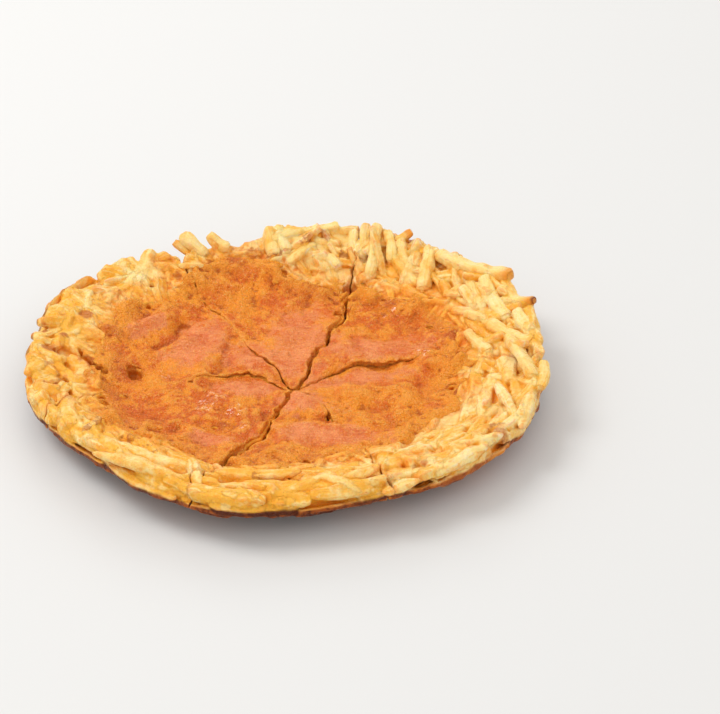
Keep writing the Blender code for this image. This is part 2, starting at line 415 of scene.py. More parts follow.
def randomShred(random, kind):
    look = shredKinds[kind]
    degrees = random.uniform(-180, 180)
    rim, cheese = float(rimRadius(degrees)), float(aroundCurve(form["cheeseRadii"], degrees))
    length = random.normal(*shredRandom["lengths"]) * style("length", degrees)
    length = max(shredRandom["leastLength"], length)
    if kind == "side":
        r = rim - random.uniform(*look["past"])
    else:
        r = random.uniform(cheese - look["past"][0], rim - look["past"][1])
    level, spread = random.uniform(*look["levels"]), style("spread", degrees) * look["spread"]
    if kind == "base":
        r, level, spread = rim * baseShreds["out"] * math.sqrt(random.random()), 0, baseShreds["spread"]
        length = length * baseShreds["usual"] + baseShreds["length"] * (1 - baseShreds["usual"])
    heading = degrees + 90 + random.normal(0, spread)
    tilt = random.normal(0, style("tilt", degrees)) * look["tilt"]
    x, y = r * math.cos(math.radians(degrees)), r * math.sin(math.radians(degrees))
    bend = random.normal(0, shredRandom["bend"][0]) + shredRandom["bend"][1]
    points = strandLine(random, x, y, heading, length, bend, level, tilt)
    points = keepInside(points, shredRandom["insideShare"])
    width = style("width", degrees) * random.uniform(*shredRandom["widths"])
    height = width * random.uniform(*shredRandom["heights"])
    if kind == "base":
        points[:, 2] = bottomAt(points[:, 0], points[:, 1]) + baseShreds["above"]
        height = baseShreds["height"]
    if len(points) < 4:
        return None
    tips = tuple(float(random.random() ** 4) for _ in range(2))
    return makeShred(
        points, width, height, roll=random.normal(0, shredRandom["roll"]) * (kind != "base"),
        tone=float(random.random()), tips=tips, fuse=style("fuse", degrees),
        square=random.uniform(*shredRandom["squares"]),
    )


# Shreds laid one by one: x, y and z of one end and of the other, width, thickness, tone (1 is the most
# golden) and how brown each tip is. The first table's stand out, and the second's have fused into the
# front edge. The last is a curl of browned skin.
laidShreds = [
    (-55, 101, 30, -44, 94, 22, 7.0, 5.0, 0.15, 0.3, 0),
    (-59, 98, 28, -48, 93, 21, 4.0, 3.6, 0.85, 0.5, 0),
    (-42, 103, 29, -32, 99, 23, 6.2, 4.4, 0.3, 0.1, 0.2),
    (-56, 84, 22.4, -40, 84, 20.6, 3.6, 3.0, 0.05, 0, 0),
    (-46, 81, 19.6, -43, 71, 16, 4.2, 3.4, 0.2, 0, 0),
    (-86, 78, 23.5, -74, 71, 21.4, 6.6, 4.0, 0.0, 0, 0),
    (45, 113, 29, 38, 84, 16, 5.2, 4.4, 0.2, 0.35, 0), (38, 114, 29, 36, 97, 20, 5.0, 4.2, 0.45, 0.5, 0),
    (32, 113, 26, 32, 91, 18, 4.6, 4.0, 0.25, 0, 0), (49, 110, 27, 51, 92, 20, 5.0, 4.0, 0.35, 0, 0),
    (61, 107, 29, 53, 105, 24, 4.4, 3.6, 0.9, 0.9, 0), (53, 95, 22, 63, 74, 17, 4.4, 3.8, 0.4, 0, 0),
    (70, 90, 27, 67, 70, 18, 6.8, 5.0, 0.1, 0.2, 0), (74, 87, 27.5, 109, 62, 30, 7.4, 5.4, 0.2, 0, 0.95),
    (75, 72, 21, 84, 70, 21, 4.0, 3.4, 0.0, 0, 0), (88, 71, 24, 95, 47, 20, 4.8, 4.4, 0.45, 0, 0),
    (97, 66, 27, 105, 34, 23.5, 6.6, 5.0, 0.2, 0, 0.2),
    (103, 48, 24, 120, 42, 28.5, 5.8, 5.0, 0.5, 0, 1.35), (87, 46, 18, 96, 36, 20.5, 5.6, 4.6, 0.2, 0, 0),
    (88, 31, 17.4, 96, 12, 18, 5.4, 4.8, 0.35, 0.1, 0),
    (97, 33, 21.5, 117, 9, 25.5, 6.2, 4.6, 0.25, 0, 0.2),
    (107, 17, 23.5, 116, -20, 25.5, 6.4, 4.6, 0.3, 0, 0.2),
    (122, -9, 26.5, 119, -28, 25, 5.2, 4.2, 0.5, 0.2, 0.2),
    (111, 36, 26, 117, 18, 26, 6.2, 4.8, 0.1, 0, 0), (-2, 91, 20, 12, 102, 23.5, 4.6, 3.6, 0.2, 0, 0),
    (-10, 92, 20, 2, 99, 22, 4.4, 3.6, 0.4, 0, 0),
    (-9, 107.5, 28.4, 24, 112, 28.6, 5.2, 3.6, 0.55, 0.5, 0),
    (-10, 103, 26, 6, 108, 27.6, 4.6, 3.4, 0.3, 0.2, 0),
    (-11.5, 110, 29, -8.5, 94, 22.5, 6.4, 5.0, 0.35, 0.3, 0),
    (-6, 111, 29.5, -3, 96, 24, 5.6, 4.4, 0.2, 0.2, 0), (18, 96, 20, 24, 90, 18.5, 5.0, 4.4, 0.1, 0, 0),
]
fusedShreds = [
    (-40, -107, 20.5, 2, -111, 21.5, 6.6, 5.0, 0.15, 0, 0),
    (-5, -109, 22, 20, -100, 24.5, 6.6, 5.0, 0.3, 0, 0), (17, -98, 25, 35, -107, 22, 6.0, 5.0, 0.1, 0, 0),
    (27, -98, 24, 43, -91, 23.5, 5.8, 4.6, 0.35, 0, 0),
    (45, -106, 21.5, 61, -100, 23.5, 8.0, 5.4, 0.45, 0.4, 0),
    (-84, -78, 24, -43, -103, 22, 7.2, 5.4, 0.25, 0, 0.3),
    (-72, -72, 24.5, -42, -92, 24, 6.6, 5.2, 0.1, 0, 0.2),
    (-78, -84, 20, -47, -106, 18, 6.0, 5.0, 0.6, 0, 0.2),
    (-41, -82, 22, -37, -103, 23.5, 6.6, 5.0, 0.05, 0, 0),
    (-31, -80, 18.6, -28, -88, 20, 4.6, 4.0, 0.0, 0, 0),
    (-30, -88, 21, 8, -92, 21.5, 6.4, 4.6, 0.2, 0, 0), (70, -92, 22, 92, -75, 24, 7.0, 5.0, 0.2, 0, 0.3),
    (82, -74, 25.5, 99, -66, 25, 5.0, 4.0, 0.8, 0, 0.8),
    (116, -32, 26, 107, -58, 23, 6.4, 5.0, 0.45, 0, 0.2),
    (101, -22, 24, 104, -50, 23, 5.6, 4.4, 0.2, 0, 0),
]
skinCurl = (-90, -66, 26.8, -85, -52, 24, 3.4, 1.6, 0.5, 0.4, 0)
laidLook = {"bend": 0.03, "fuse": 1.1, "square": 0.42, "taper": (0.25, 1.2), "skin": 0.0}
fusedLook = {"bend": 0.06, "fuse": 1.5, "square": 0.8, "taper": (0.6, 6.0), "skin": 0.0}
curlLook = laidLook | {"skin": 0.66}
laidLine = {"spacing": 1.3, "sunk": 0.7, "sag": 0.05, "sway": 0.5, "swayPace": 4.2, "roll": 0.5}
bed = {"sunk": 0.6, "width": 0.94, "height": 0.9, "fuse": 1.4}


def layShred(row, look, number):
    a, b = (np.array(row[i:i + 3], float) - [0, 0, laidLine["sunk"]] for i in (0, 3))
    width, height, tone, *tips = row[6:]
    length = np.linalg.norm(b - a)
    t = np.linspace(0, 1, max(6, int(length / laidLine["spacing"])))
    points = a + (b - a) * t[:, None]
    points[:, 2] -= laidLine["sag"] * length * np.sin(math.pi * t) * (1 if number % 3 else -1)
    side = np.cross(b - a, [0, 0, 1.0])
    side /= max(np.linalg.norm(side), 0.1)
    phase = number * 2.4
    bend = look["bend"] * length * np.sin(math.pi * t + phase) * math.sin(phase)
    points += side * (laidLine["sway"] * np.sin(laidLine["swayPace"] * t + phase) + bend)[:, None]
    return makeShred(
        points, width, height, roll=laidLine["roll"] * math.sin(number * 1.7), tone=tone, tips=tips,
        fuse=look["fuse"], skin=look["skin"], square=look["square"], taper=look["taper"],
    )


def layAll():
    # every shred of the mass, and those that are pieces of their own on top of it
    rows = [(row, laidLook) for row in laidShreds] + [(row, fusedLook) for row in fusedShreds]
    rows.append((skinCurl, curlLook))
    laid = [layShred(row, look, number) for number, (row, look) in enumerate(rows)]
    loose = [shred for shred, (_, look) in zip(laid, rows) if look is not fusedLook]
    random = np.random.default_rng(shredRandom["seed"])
    kinds = [kind for kind, look in shredKinds.items() for _ in range(look["count"])]
    mass = [shred for shred in (randomShred(random, kind) for kind in kinds) if shred]
    mass += [shred for shred, (_, look) in zip(laid, rows) if look is fusedLook]
    for shred in loose:  # the mass rises round each loose shred's underside
        mass.append(shred | {
            "points": shred["points"] - np.array([0, 0, bed["sunk"]]), "fuse": bed["fuse"],
            "width": shred["width"] * bed["width"], "height": shred["height"] * bed["height"],
        })
    return mass, loose


print("laying the shreds")
allShreds, looseShreds = layAll()


class Block:
    # a box of cells round one wedge, and what is known above each column of it
    def __init__(self, wedge):
        self.step = cells["step"]
        low, high = self.reach(wedge)
        self.origin = np.array([low[0], low[1], cells["lowest"]])
        self.xs = np.arange(low[0], high[0], self.step)
        self.ys = np.arange(low[1], high[1], self.step)
        self.zs = np.arange(cells["lowest"], cells["highest"], self.step)
        self.x, self.y = np.meshgrid(self.xs, self.ys, indexing="ij")
        self.r, self.degrees = polar(self.x, self.y)
        self.share = self.r / rimRadius(self.degrees)
        self.bottom, self.top = bottomAt(self.x, self.y), topAt(self.x, self.y)
        self.cheeseDistance = aroundCurve(form["cheeseRadii"], self.degrees) - self.r
        start, end, self.distance = cutSides(self.x, self.y, wedge)
        self.cutSides = ((1, start, wedge["start"]), (-1, end, wedge["end"]))
        self.holeEdge = fractal(self.x, self.y, 3.2, 6.5)
        low, high = self.origin - 6, np.array([self.xs[-1], self.ys[-1], 99]) + 6
        self.shreds = [
            s for s in allShreds if np.all(s["points"].max(0) > low) and np.all(s["points"].min(0) < high)
        ]

    def reach(self, wedge):
        # the lowest and highest x and y of the wedge
        spots = []
        for distance in np.linspace(1, 140, 60):
            low, high = (float(curveThrough(cuts[wedge[key]], distance)) for key in ("start", "end"))
            degrees = np.radians(np.linspace(low, low + (high - low) % 360, 24))
            x = form["cutCentre"][0] + distance * np.cos(degrees)
            y = form["cutCentre"][1] + distance * np.sin(degrees)
            spots.append(np.stack([x, y], 1)[shareOut(x, y) < 1.0])
        spots = np.concatenate(spots)
        return spots.min(0) - cells["margin"], spots.max(0) + cells["margin"]

    def lumps(self, size, part):
        # uneven values between -1 and 1 over the columns, lumps of this size; part picks other ones
        return lumpNoise(self.x / size, self.y / size, part)

    def pick(self, values, points):
        # the cell values nearest to points
        where = np.rint((points - self.origin) / self.step).astype(int)
        where = [np.clip(where[:, axis], 0, values.shape[axis] - 1) for axis in range(values.ndim)]
        return values[tuple(where)]

    def sample(self, values, points):
        # values between the cells, on columns or on cells
        place = ((points - self.origin) / self.step)[:, : values.ndim]
        place = np.clip(place, 0, np.array(values.shape) - 1.001)
        low = place.astype(int)
        part = place - low
        total = 0
        for corner in np.ndindex(*(2,) * values.ndim):
            weight = np.prod([part[:, a] if c else 1 - part[:, a] for a, c in enumerate(corner)], axis=0)
            total = total + weight * values[tuple(low[:, a] + c for a, c in enumerate(corner))]
        return total


core = {
    "edge": 5.0, "crust": 2.6, "crustEdge": 0.9, "crustRagged": 1.3, "hollow": 0.7, "hollowLump": 0.6,
    "sunk": 0.4, "lump": 1.0, "rimLump": 2.2, "lumpSize": 7.0, "rimRamp": (-2, 8), "topRound": 1.5,
    "edgeRound": 2.5, "crustRound": 0.8, "join": 1.0,
}
# The thin browned flange that stands up at the left back edge.
flange = {
    "from": 139, "to": 167, "height": 11.5, "thick": 0.9, "inset": 1.0, "ragged": 1.2, "wave": 0.5, "ramp": 7,
    "round": 0.6, "foot": 0.5,
}
bites = [(-57, 97, 7.5), (106, -66, 4.5)]  # where the rim is missing a bite: x, y and radius


def coreField(block):
    # the mass below the shreds: its distance in each cell, negative inside it
    z = block.zs[None, None, :]
    rim = smoothStep(*core["rimRamp"], -block.cheeseDistance)
    filled = aroundCurve(shredStyle["filled"], block.degrees)
    lumps = block.lumps(core["lumpSize"], 3.5)
    top = block.top - core["sunk"] - rim * filled + lumps * (core["lump"] * (1 - rim) + core["rimLump"] * rim)
    outside = (block.share - 1) * block.r
    hollow = core["hollow"] * (1 + core["hollowLump"] * block.lumps(9, 6.5))
    solid = softMax(z - top[:, :, None], (block.bottom + hollow)[:, :, None] - z, core["topRound"])
    solid = softMax(solid, (outside + core["edge"])[:, :, None], core["edgeRound"])
    height = z - block.bottom[:, :, None]
    skin = np.abs(height - hollow[:, :, None] - core["crust"] / 2) - core["crust"] / 2
    ragged = core["crustRagged"] * block.lumps(5, 8.5)
    skin = softMax(skin, (outside + core["crustEdge"] + ragged)[:, :, None], core["crustRound"])
    field = softMin(solid, skin, core["join"])
    if np.any((block.degrees > flange["from"]) & (block.degrees < flange["to"])):
        fromEnd = np.minimum(block.degrees - flange["from"], flange["to"] - block.degrees)
        standing = flange["height"] * smoothStep(0, flange["ramp"], fromEnd)
        standing = standing + flange["ragged"] * block.lumps(4, 5.5)
        wall = np.abs(outside + flange["inset"] + flange["wave"] * block.lumps(9, 2.5)) - flange["thick"] / 2
        wall = softMax(wall[:, :, None], height - standing[:, :, None], flange["round"])
        wall = softMax(wall, flange["foot"] - height, flange["round"])
        field = softMin(field, wall, flange["round"])
    return field.astype(np.float32)


stamp = {"reach": 1.2, "endRound": 0.3, "far": 9.0, "fibreStep": 3.1, "fibreKinds": 7}


def stampShred(block, field, nearest, owner, fibre, number):
    # adds one shred to the field, and to what is kept about the nearest shred
    shred = block.shreds[number]
    points, step = shred["points"], block.step
    halfWidth, halfHeight = shred["width"], shred["height"]
    corner = shred["square"] * min(halfWidth, halfHeight)
    reach = max(halfWidth, halfHeight) + shred["fuse"] + stamp["reach"]

    def boxRound(least, most, lowest, highest):
        low = np.maximum(((least - reach - block.origin) / step).astype(int), lowest)
        return low, np.minimum(((most + reach - block.origin) / step).astype(int) + 2, highest)

    low, high = boxRound(points.min(0), points.max(0), 0, np.array(field.shape))
    if np.any(high <= low):
        return
    local = np.full(high - low, stamp["far"], np.float32)
    across = np.zeros_like(local)
    for i, (a, b) in enumerate(zip(points[:-1], points[1:])):
        centre, half = (a + b) / 2, np.linalg.norm(b - a) / 2
        boxLow, boxHigh = boxRound(np.minimum(a, b), np.maximum(a, b), low, high)
        if np.any(boxHigh <= boxLow):
            continue
        x, y, z = (
            axis[boxLow[k]:boxHigh[k]] - centre[k] for k, axis in enumerate((block.xs, block.ys, block.zs))
        )
        u, v, w = (
            (x[:, None, None] * way[0] + y[None, :, None] * way[1]) + z[None, None, :] * way[2]
            for way in ((b - a) / (2 * half), shred["across"][i], shred["normal"][i])
        )
        first, last = shred["swell"][i], shred["swell"][i + 1]
        swell = (first + last) / 2 + (last - first) * np.clip(u / (2 * half), -0.5, 0.5)
        past = [
            np.abs(u) - half + stamp["endRound"] * corner,
            np.abs(v) - halfWidth * swell + corner,
            np.abs(w) - halfHeight * swell + corner,
        ]
        inside = np.minimum(np.maximum(np.maximum(past[0], past[1]), past[2]), 0)
        far = np.sqrt(sum(np.maximum(item, 0) ** 2 for item in past)) + inside - corner
        spot = tuple(slice(boxLow[k] - low[k], boxHigh[k] - low[k]) for k in range(3))
        across[spot] = np.where(far < local[spot], v, across[spot])
        local[spot] = np.minimum(local[spot], far)
    where = tuple(slice(low[k], high[k]) for k in range(3))
    field[where] = softMin(field[where], local, shred["fuse"])
    closer = local < nearest[where]
    owner[where] = np.where(closer, number, owner[where])
    ownFibre = across + stamp["fibreStep"] * (number % stamp["fibreKinds"])
    fibre[where] = np.where(closer, ownFibre, fibre[where])
    nearest[where] = np.minimum(nearest[where], local)


def heightOf(block, field):
    # the highest solid point above each column
    solid = field < 0
    last = solid.shape[2] - 1 - np.argmax(solid[:, :, ::-1], axis=2)
    last = np.clip(last, 0, solid.shape[2] - 2)
    i, j = np.indices(last.shape)
    here, above = field[i, j, last], field[i, j, last + 1]
    height = block.zs[last] + block.step * np.clip(here / np.minimum(here - above, -1e-6), 0, 1)
    return np.where(solid.any(axis=2), height, block.top - 3)


def netFrom(block, field, lowest):
    # a closed mesh of quads where the field crosses zero, without the crumbs that hang loose
    grid = openvdb.FloatGrid(3.0)
    grid.copyFromArray(np.clip(field, -3, 3).astype(np.float32))
    points, quads = grid.convertToQuads(0.0)
    points = points.astype(float) * block.step + np.array([*block.origin[:2], lowest])
    quads = quads.astype(int)
    parent = np.arange(len(points))
    for _ in range(200):
        least = parent[quads].min(axis=1)
        before = parent.copy()
        np.minimum.at(parent, quads.ravel(), np.repeat(least, 4))
        parent = parent[parent]
        if np.array_equal(before, parent):
            break
    names, counts = np.unique(parent[quads[:, 0]], return_counts=True)
    kept = quads[parent[quads[:, 0]] == names[counts.argmax()]]
    used, renumbered = np.unique(kept, return_inverse=True)
    quads = renumbered.reshape(-1, 4)
    pairs = np.concatenate([quads[:, [i, (i + 1) % 4]] for i in range(4)])
    return points[used], quads, np.unique(np.sort(pairs, axis=1), axis=0)


def relax(values, edges, rounds):
    # moves each value halfway to its neighbours' average
    single = values.ndim == 1
    values = values[:, None] if single else values
    count = np.bincount(edges.ravel(), minlength=len(values)).astype(float)[:, None]
    for _ in range(rounds):
        total = np.stack([
            sum(np.bincount(edges[:, a], column[edges[:, 1 - a]], len(values)) for a in (0, 1))
            for column in values.T
        ], axis=1)
        values = values + 0.5 * (total / count - values)
    return values[:, 0] if single else values


def normalsOf(points, quads):
    a, b, c, d = (points[quads[:, i]] for i in range(4))
    faces = np.cross(c - a, d - b)
    total = np.zeros_like(points)
    for i in range(4):
        for k in range(3):
            total[:, k] += np.bincount(quads[:, i], faces[:, k], len(points))
    return total / np.maximum(np.linalg.norm(total, axis=1, keepdims=True), 1e-9)


def bulgeOf(points, quads, edges):
    # how far each point stands out of its surroundings, in tenths of a millimetre
    away = points - relax(points, edges, potatoLook["bulgeRounds"])
    bulge = (away * normalsOf(points, quads)).sum(axis=1) * 10
    return np.clip(bulge, -potatoLook["bulgeMost"], potatoLook["bulgeMost"])


def addObject(name, data):
    made = bpy.data.objects.new(name, data)
    bpy.context.scene.collection.objects.link(made)
    return made


def addPiece(name, points, edges, quads, marks):
    data = bpy.data.meshes.new(name)
    data.from_pydata(((points - middle) * metresPerMillimetre).tolist(), edges, quads.tolist())
    for mark, values in marks.items():
        data.attributes.new(mark, "FLOAT", "POINT").data.foreach_set("value", np.asarray(values, np.float32))
    data.polygons.foreach_set("use_smooth", np.ones(len(data.polygons), bool))
    data.update()
    return addObject(name, data)


potatoLook = {
    "rough": 0.14, "roughSize": 1.7, "lump": 0.3, "lumpSize": 4.2, "cutRound": 0.6, "biteRagged": 1.6,
    "biteRound": 0.8, "tipReach": 3.5, "flangeFrom": 0.985, "crustHeight": 3.2, "tintMost": 0.9,
    "plainTone": 0.45, "runEdge": (-9, 3), "thickRun": (2, 9), "crustEdge": (1.0, -1.2), "cavityReach": 2.6,
    "flangeCrust": 0.7, "bulgeRounds": 7, "bulgeMost": 4,
}
pits = {"share": 0.85, "depth": 4.5, "round": 0.8}
# Spots, each with x, y, radius and strength. The first are browned places on the shreds.
potatoSpots = [
    (-118, 21, 4.5, 1.4), (-113, 6, 5, 1.4), (-109, 20, 4, 0.8), (-99, 40, 6, 1.2), (-85, 59, 5, 0.6),
    (-57, 78, 4, 1.0), (-40, 88, 5, 1.1), (-20, 97, 9, 0.7), (17, 105, 5, 0.8), (60, 108, 5, 0.9),
    (80, 100, 8, 0.6), (121, 41, 6, 1.0), (78, 36, 9, 1.0), (98, -62, 7, 0.8), (-93, 4, 7, 2.0),
    (60, -86, 8, 0.6), (-106, -14, 8, 0.55), (-110, 34, 7, 0.5), (-100, -34, 6, 0.6), (-112, -6, 6, 0.6),
    (-94, 52, 6, 0.5), (16, -86, 6, 0.6), (29, 80, 7, 0.7), (-74, 6, 12, 2.2),
]
tintSpots = [  # where cheese has run over the shreds
    (-62, 86, 12, 0.9), (-30, 99, 16, 0.9), (-88, 58, 9, 0.5), (-104, 10, 8, 0.5), (94, 8, 8, 0.4),
    (30, 92, 8, 0.5), (-98, -38, 7, 0.4), (15, -88, 7, 0.6), (58, -76, 9, 0.8), (-8, -86, 7, 0.6),
    (72, -72, 6, 0.7), (46, -90, 7, 0.7), (88, -46, 7, 0.5), (-70, -66, 6, 0.5),
]
skinSpots = [  # greyish brown scraps of skin in the mass
    (-9, 96, 6, 1.1), (8, 103, 6, 0.8), (27, 96, 5, 0.9), (-11, -95, 7, 0.75), (-71, -67, 6, 0.75),
    (-60, -74, 5, 0.6), (-108, 20, 4, 0.8), (95, -55, 6, 0.7), (-114, -22, 6, 0.5), (-96, 68, 6, 0.5),
]


def spotted(spots, x, y):
    uneven = 0.5 * patchNoise(x / 4, y / 4, 6.5)
    total = 0
    for atX, atY, radius, amount in spots:
        total = total + amount * smoothStep(1.1, 0.1, np.hypot(x - atX, y - atY) / radius + uneven)
    return total


def rise(points, block, wedge):
    # lifts a wedge a little without moving its underside, and less where it still holds to its neighbour
    start, end, distance = cutSides(points[:, 0], points[:, 1], wedge)
    risen = wedge["risen"]
    for past, cutName, other in ((start, wedge["start"], "end"), (end, wedge["end"], "start")):
        neighbour = next(item["risen"] for item in wedges.values() if item[other] == cutName)
        held = np.clip(1 - curveThrough(cutStyle[cutName]["step"], distance), 0, 1)
        risen = risen + (neighbour - wedge["risen"]) / 2 * (held * np.exp(-(past / 10) ** 2))
    lifted = risen * smoothStep(0, 7, points[:, 2] - block.sample(block.bottom, points))
    return points + np.array([0, 0, 1.0]) * lifted[:, None]


def cutPotato(block, field):
    # takes away what is past the two cuts, the bites out of the rim and the pits below the cheese's holes
    cut, rough = field, roughCut(block, block.zs)
    for side, past, cutName in block.cutSides:
        torn = pastCut(block, cutName, side, past, potatoGap)
        cut = softMax(cut, torn[:, :, None] + side * rough, potatoLook["cutRound"])
    for x, y, radius in bites:
        away = np.hypot(block.x - x, block.y - y) + potatoLook["biteRagged"] * block.lumps(4, 2.5)
        if away.min() < radius:
            cut = softMax(cut, (radius - away)[:, :, None], potatoLook["biteRound"])
    for hole in holes:
        away, radius = awayFrom(hole, block), hole[2]
        if away.min() < radius:
            floor = block.top - pits["depth"] * min(1, radius / 3)
            pit = np.maximum((away - pits["share"] * radius)[:, :, None], floor[:, :, None] - block.zs)
            cut = softMax(cut, -pit, pits["round"])
    return cut


def tipBrowning(shreds, number, points):
    brown = np.zeros(len(points))
    for i in np.unique(number[number >= 0]):
        mine = number == i
        for end, amount in zip((0, -1), shreds[i]["tips"]):
            away = np.linalg.norm(points[mine] - shreds[i]["points"][end], axis=1)
            brown[mine] = np.maximum(brown[mine], amount * np.exp(-away / potatoLook["tipReach"]))
    return brown


def potatoMarks(block, cut, owner, fibre, points, quads, edges):
    # what the material needs to know at each point
    normals = normalsOf(points, quads)
    x, y, z = points.T
    degrees = np.degrees(np.arctan2(y, x))
    number = block.pick(owner, points)
    tone, skin = (
        np.array([shred[key] for shred in block.shreds] + [plain])[number]
        for key, plain in (("tone", potatoLook["plainTone"]), ("skin", 0.0))
    )
    filled = boxBlur(cut < 0, max(2, round(potatoLook["cavityReach"] / block.step)))
    fromCheese = block.sample(block.cheeseDistance, points)
    ragged = 5 * patchNoise(x / 11, y / 11, 0.5) + 3 * patchNoise(x / 4, y / 4, z / 4)
    run = smoothStep(*potatoLook["runEdge"], fromCheese + 1.2 * ragged)
    tint = np.maximum(run, np.minimum(spotted(tintSpots, x, y), potatoLook["tintMost"]))
    under = potatoLook["crustHeight"] + 1.1 * patchNoise(x / 6, y / 6, 4.5)
    under = under + 1.0 * smoothStep(-30, -80, y) - 1.6 * normals[:, 2]
    height = z - block.sample(block.bottom, points)
    crust = smoothStep(*potatoLook["crustEdge"], height - under)
    outward = (normals[:, 0] * x + normals[:, 1] * y) / np.hypot(x, y) + 0.6 * normals[:, 2]
    onFlange = (block.sample(block.share, points) > potatoLook["flangeFrom"]) & (degrees > flange["from"])
    onFlange = onFlange & (outward > 0.2)
    paintedShadeStrength = aroundCurve(shredStyle["paintedShadeStrength"], degrees)
    # How closed in each point is; the material paints shade in the gaps from it.
    cavity = relax(block.sample(filled, points + normals * 0.4), edges, 1)
    return paintedShadeStrength, {
        "tone": relax(tone, edges, 2) + aroundCurve(shredStyle["golden"], degrees),
        "tip": relax(tipBrowning(block.shreds, number, points), edges, 2),
        "skin": relax(skin, edges, 1) + spotted(skinSpots, x, y),
        "tint": tint * (1 + 1.5 * smoothStep(*potatoLook["thickRun"], fromCheese)),
        "crust": np.maximum(crust, relax(onFlange * potatoLook["flangeCrust"], edges, 1)),
        "brown": spotted(potatoSpots, x, y),
        "fibre": block.pick(fibre, points),
        "cavity": 0.5 + (cavity - 0.5) * paintedShadeStrength,
    }


def makePotato(name, wedge, block, field, owner, fibre):
    cut = cutPotato(block, field)
    points, quads, edges = netFrom(block, cut, block.origin[2])
    points = relax(points, edges, 1)
    paintedShadeStrength, marks = potatoMarks(block, cut, owner, fibre, points, quads, edges)
    x, y, z = points.T
    normals = normalsOf(points, quads)
    size, lump = potatoLook["roughSize"], potatoLook["lumpSize"]
    points = points + normals * (potatoLook["rough"] * fineNoise(x / size, y / size, z / size))[:, None]
    points = points + normals * (potatoLook["lump"] * fineNoise(x / lump + 9, y / lump, z / lump))[:, None]
    bulge = bulgeOf(points, quads, edges)
    # The dips are scaled by the painted shade strength, as they set the painted shade in the creases.
    marks["bulge"] = np.where(bulge < 0, bulge * paintedShadeStrength, bulge)
    points = rise(points, block, wedge)
    points[:, 2] = np.maximum(points[:, 2], 0.0)
    return addPiece(f"shreds_{name}", points, [], quads, marks)


# Folds of the cheese, each with x and y of one end and of the other, height and width.
folds = [
    (-78, 33, -58, 50, 1.6, 6), (-63, 27, -53, 45, -3.0, 5.0), (-52, 46, -42, 50, -1.4, 4.0),
    (-27, 36, -34, 5, -3.2, 4.6), (-32, 5, -12, 13, 1.6, 7), (-38, -34, -24, -45, -1.7, 6),
    (-62, -50, -48, -50, -1.2, 2.5), (-46, -8, -26, -22, 0.9, 8), (-16, -30, -28, -56, 0.8, 6),
    (16, 8, 66, 22, 1.2, 12), (-10, -33, 24, -35, -1.9, 4.2), (-6, -38, 44, -42, 0.8, 5),
    (28, -12, 60, -9, 0.9, 6), (36, -24, 64, -26, -0.8, 4), (-4, 28, 10, 62, 0.7, 14),
    (60, 60, 30, 66, 0.9, 9), (64, 2, 84, 12, 1.0, 6), (-86, 48, -62, 62, 0.9, 7),
    (-18, 84, 14, 80, 0.9, 8),
]
# Where the cheese is a smooth skin over a soft swelling: x, y, half length, half width, turn and height.
smoothAreas = [
    (-44, 29, 21, 14, 68, 2.4), (-68, 42, 13, 5, 42, 0.4), (-20, 20, 15, 11, -30, 0.5),
    (5, 32, 32, 17, 92, 0.5), (42, 24, 29, 12, 12, 1.8), (36, -1, 24, 8, 10, 0.6),
    (7, -21, 11, 9, 0, 2.2), (20, -46, 30, 8, -3, 0.5), (-18, -8, 18, 8, 5, 1.2),
    (-35, -50, 12, 6, -20, 0.2),
]
# Holes through the cheese: x, y and radius, and where one is nearly square its half sides and turn.
holes = [
    (-73.5, 6, 4.6, 3.9, 5.4, 12), (-78, -15, 2.0), (-87, -22, 1.8), (-85, -28, 2.2), (20, -32, 1.8),
    (53, -38, 1.5), (78, -7, 2.6), (-99, 12, 1.9), (-97.5, 9, 2.2), (-95.5, 6, 2.2), (-93, 3.2, 1.9),
    (-90, 0.8, 1.9), (-87, -1.4, 1.7), (-69, 69, 1.6), (-70, 56, 1.4), (70, 61, 1.4), (69, 43, 1.6),
    (-4, 86, 1.8), (12, 88, 2.4), (30, 79, 4.2), (24, 57, 2.2), (-46, -5, 1.2), (-33, -39, 1.5),
    (38, -66, 1.8), (10, -68, 1.6),
]
cheeseSpots = [  # browned spots: x, y, radius and strength
    (10, 74, 14, 0.6), (48, 65, 12, 0.7), (58, 44, 9, 0.6), (82, 33, 9, 1.3), (-60, -38, 10, 0.8),
    (-76, 4, 11, 0.8), (-80, -18, 10, 0.8), (-31, -40, 8, 0.8), (-28, 90, 8, 0.8), (-57, 76, 7, 0.9),
    (-72, 42, 9, 0.5), (42, 8, 7, 0.5), (78, -8, 9, 0.8), (50, -36, 9, 0.6), (30, -32, 6, 0.6),
    (-88, 30, 9, 0.7), (12, -62, 9, 0.5), (38, -58, 7, 0.6), (-44, -66, 9, 0.5), (26, 60, 8, 0.6),
    (-36, 62, 10, 0.4), (82, -28, 7, 0.5),
]
wetSpots = [  # where fat shines
    (-33, -18, 8, 1.0), (-24, -29, 8, 1.0), (-40, -26, 7, 0.7), (66, 19, 7, 1.0), (26, -24, 9, 0.6),
    (-20, -42, 7, 0.7), (-58, 2, 9, 0.6), (50, 58, 9, 0.7),
]
cheeseLook = {
    "thick": 2.0, "sink": -1.3, "ramp": 10.0, "calmFrom": 2, "calmTo": 16, "ragged": 5.2, "swell": 2.8,
    "bump": 0.9, "bumpSize": 5.0, "pit": 0.6, "pitSize": 3.8, "calmer": 0.62, "wrinkle": 0.22, "under": 0.8,
    "crumble": 0.45, "crumbleSize": 1.7, "coat": 0.5, "leastThick": 0.9, "edgeRound": 0.8, "holeRound": 0.6,
    "cutRound": 0.3, "edgeWidth": 9, "edgeUneven": 0.6, "swellSize": 15, "pitFrom": (0.28, 0.75),
    "swellingEdge": (1.25, 0.3), "skinEdge": (1.5, 0.45), "wrinkleSize": (7, 2.2), "smoothOver": 1.2,
    "coatRamp": (0, 8), "coatPast": 3.4, "coatLess": 2.4, "sharpest": 0.7,
}
foldLook = {"bend": 4.2, "bendSize": 12, "uneven": 1.0, "unevenSize": 3.5, "width": 0.7, "end": 0.5}


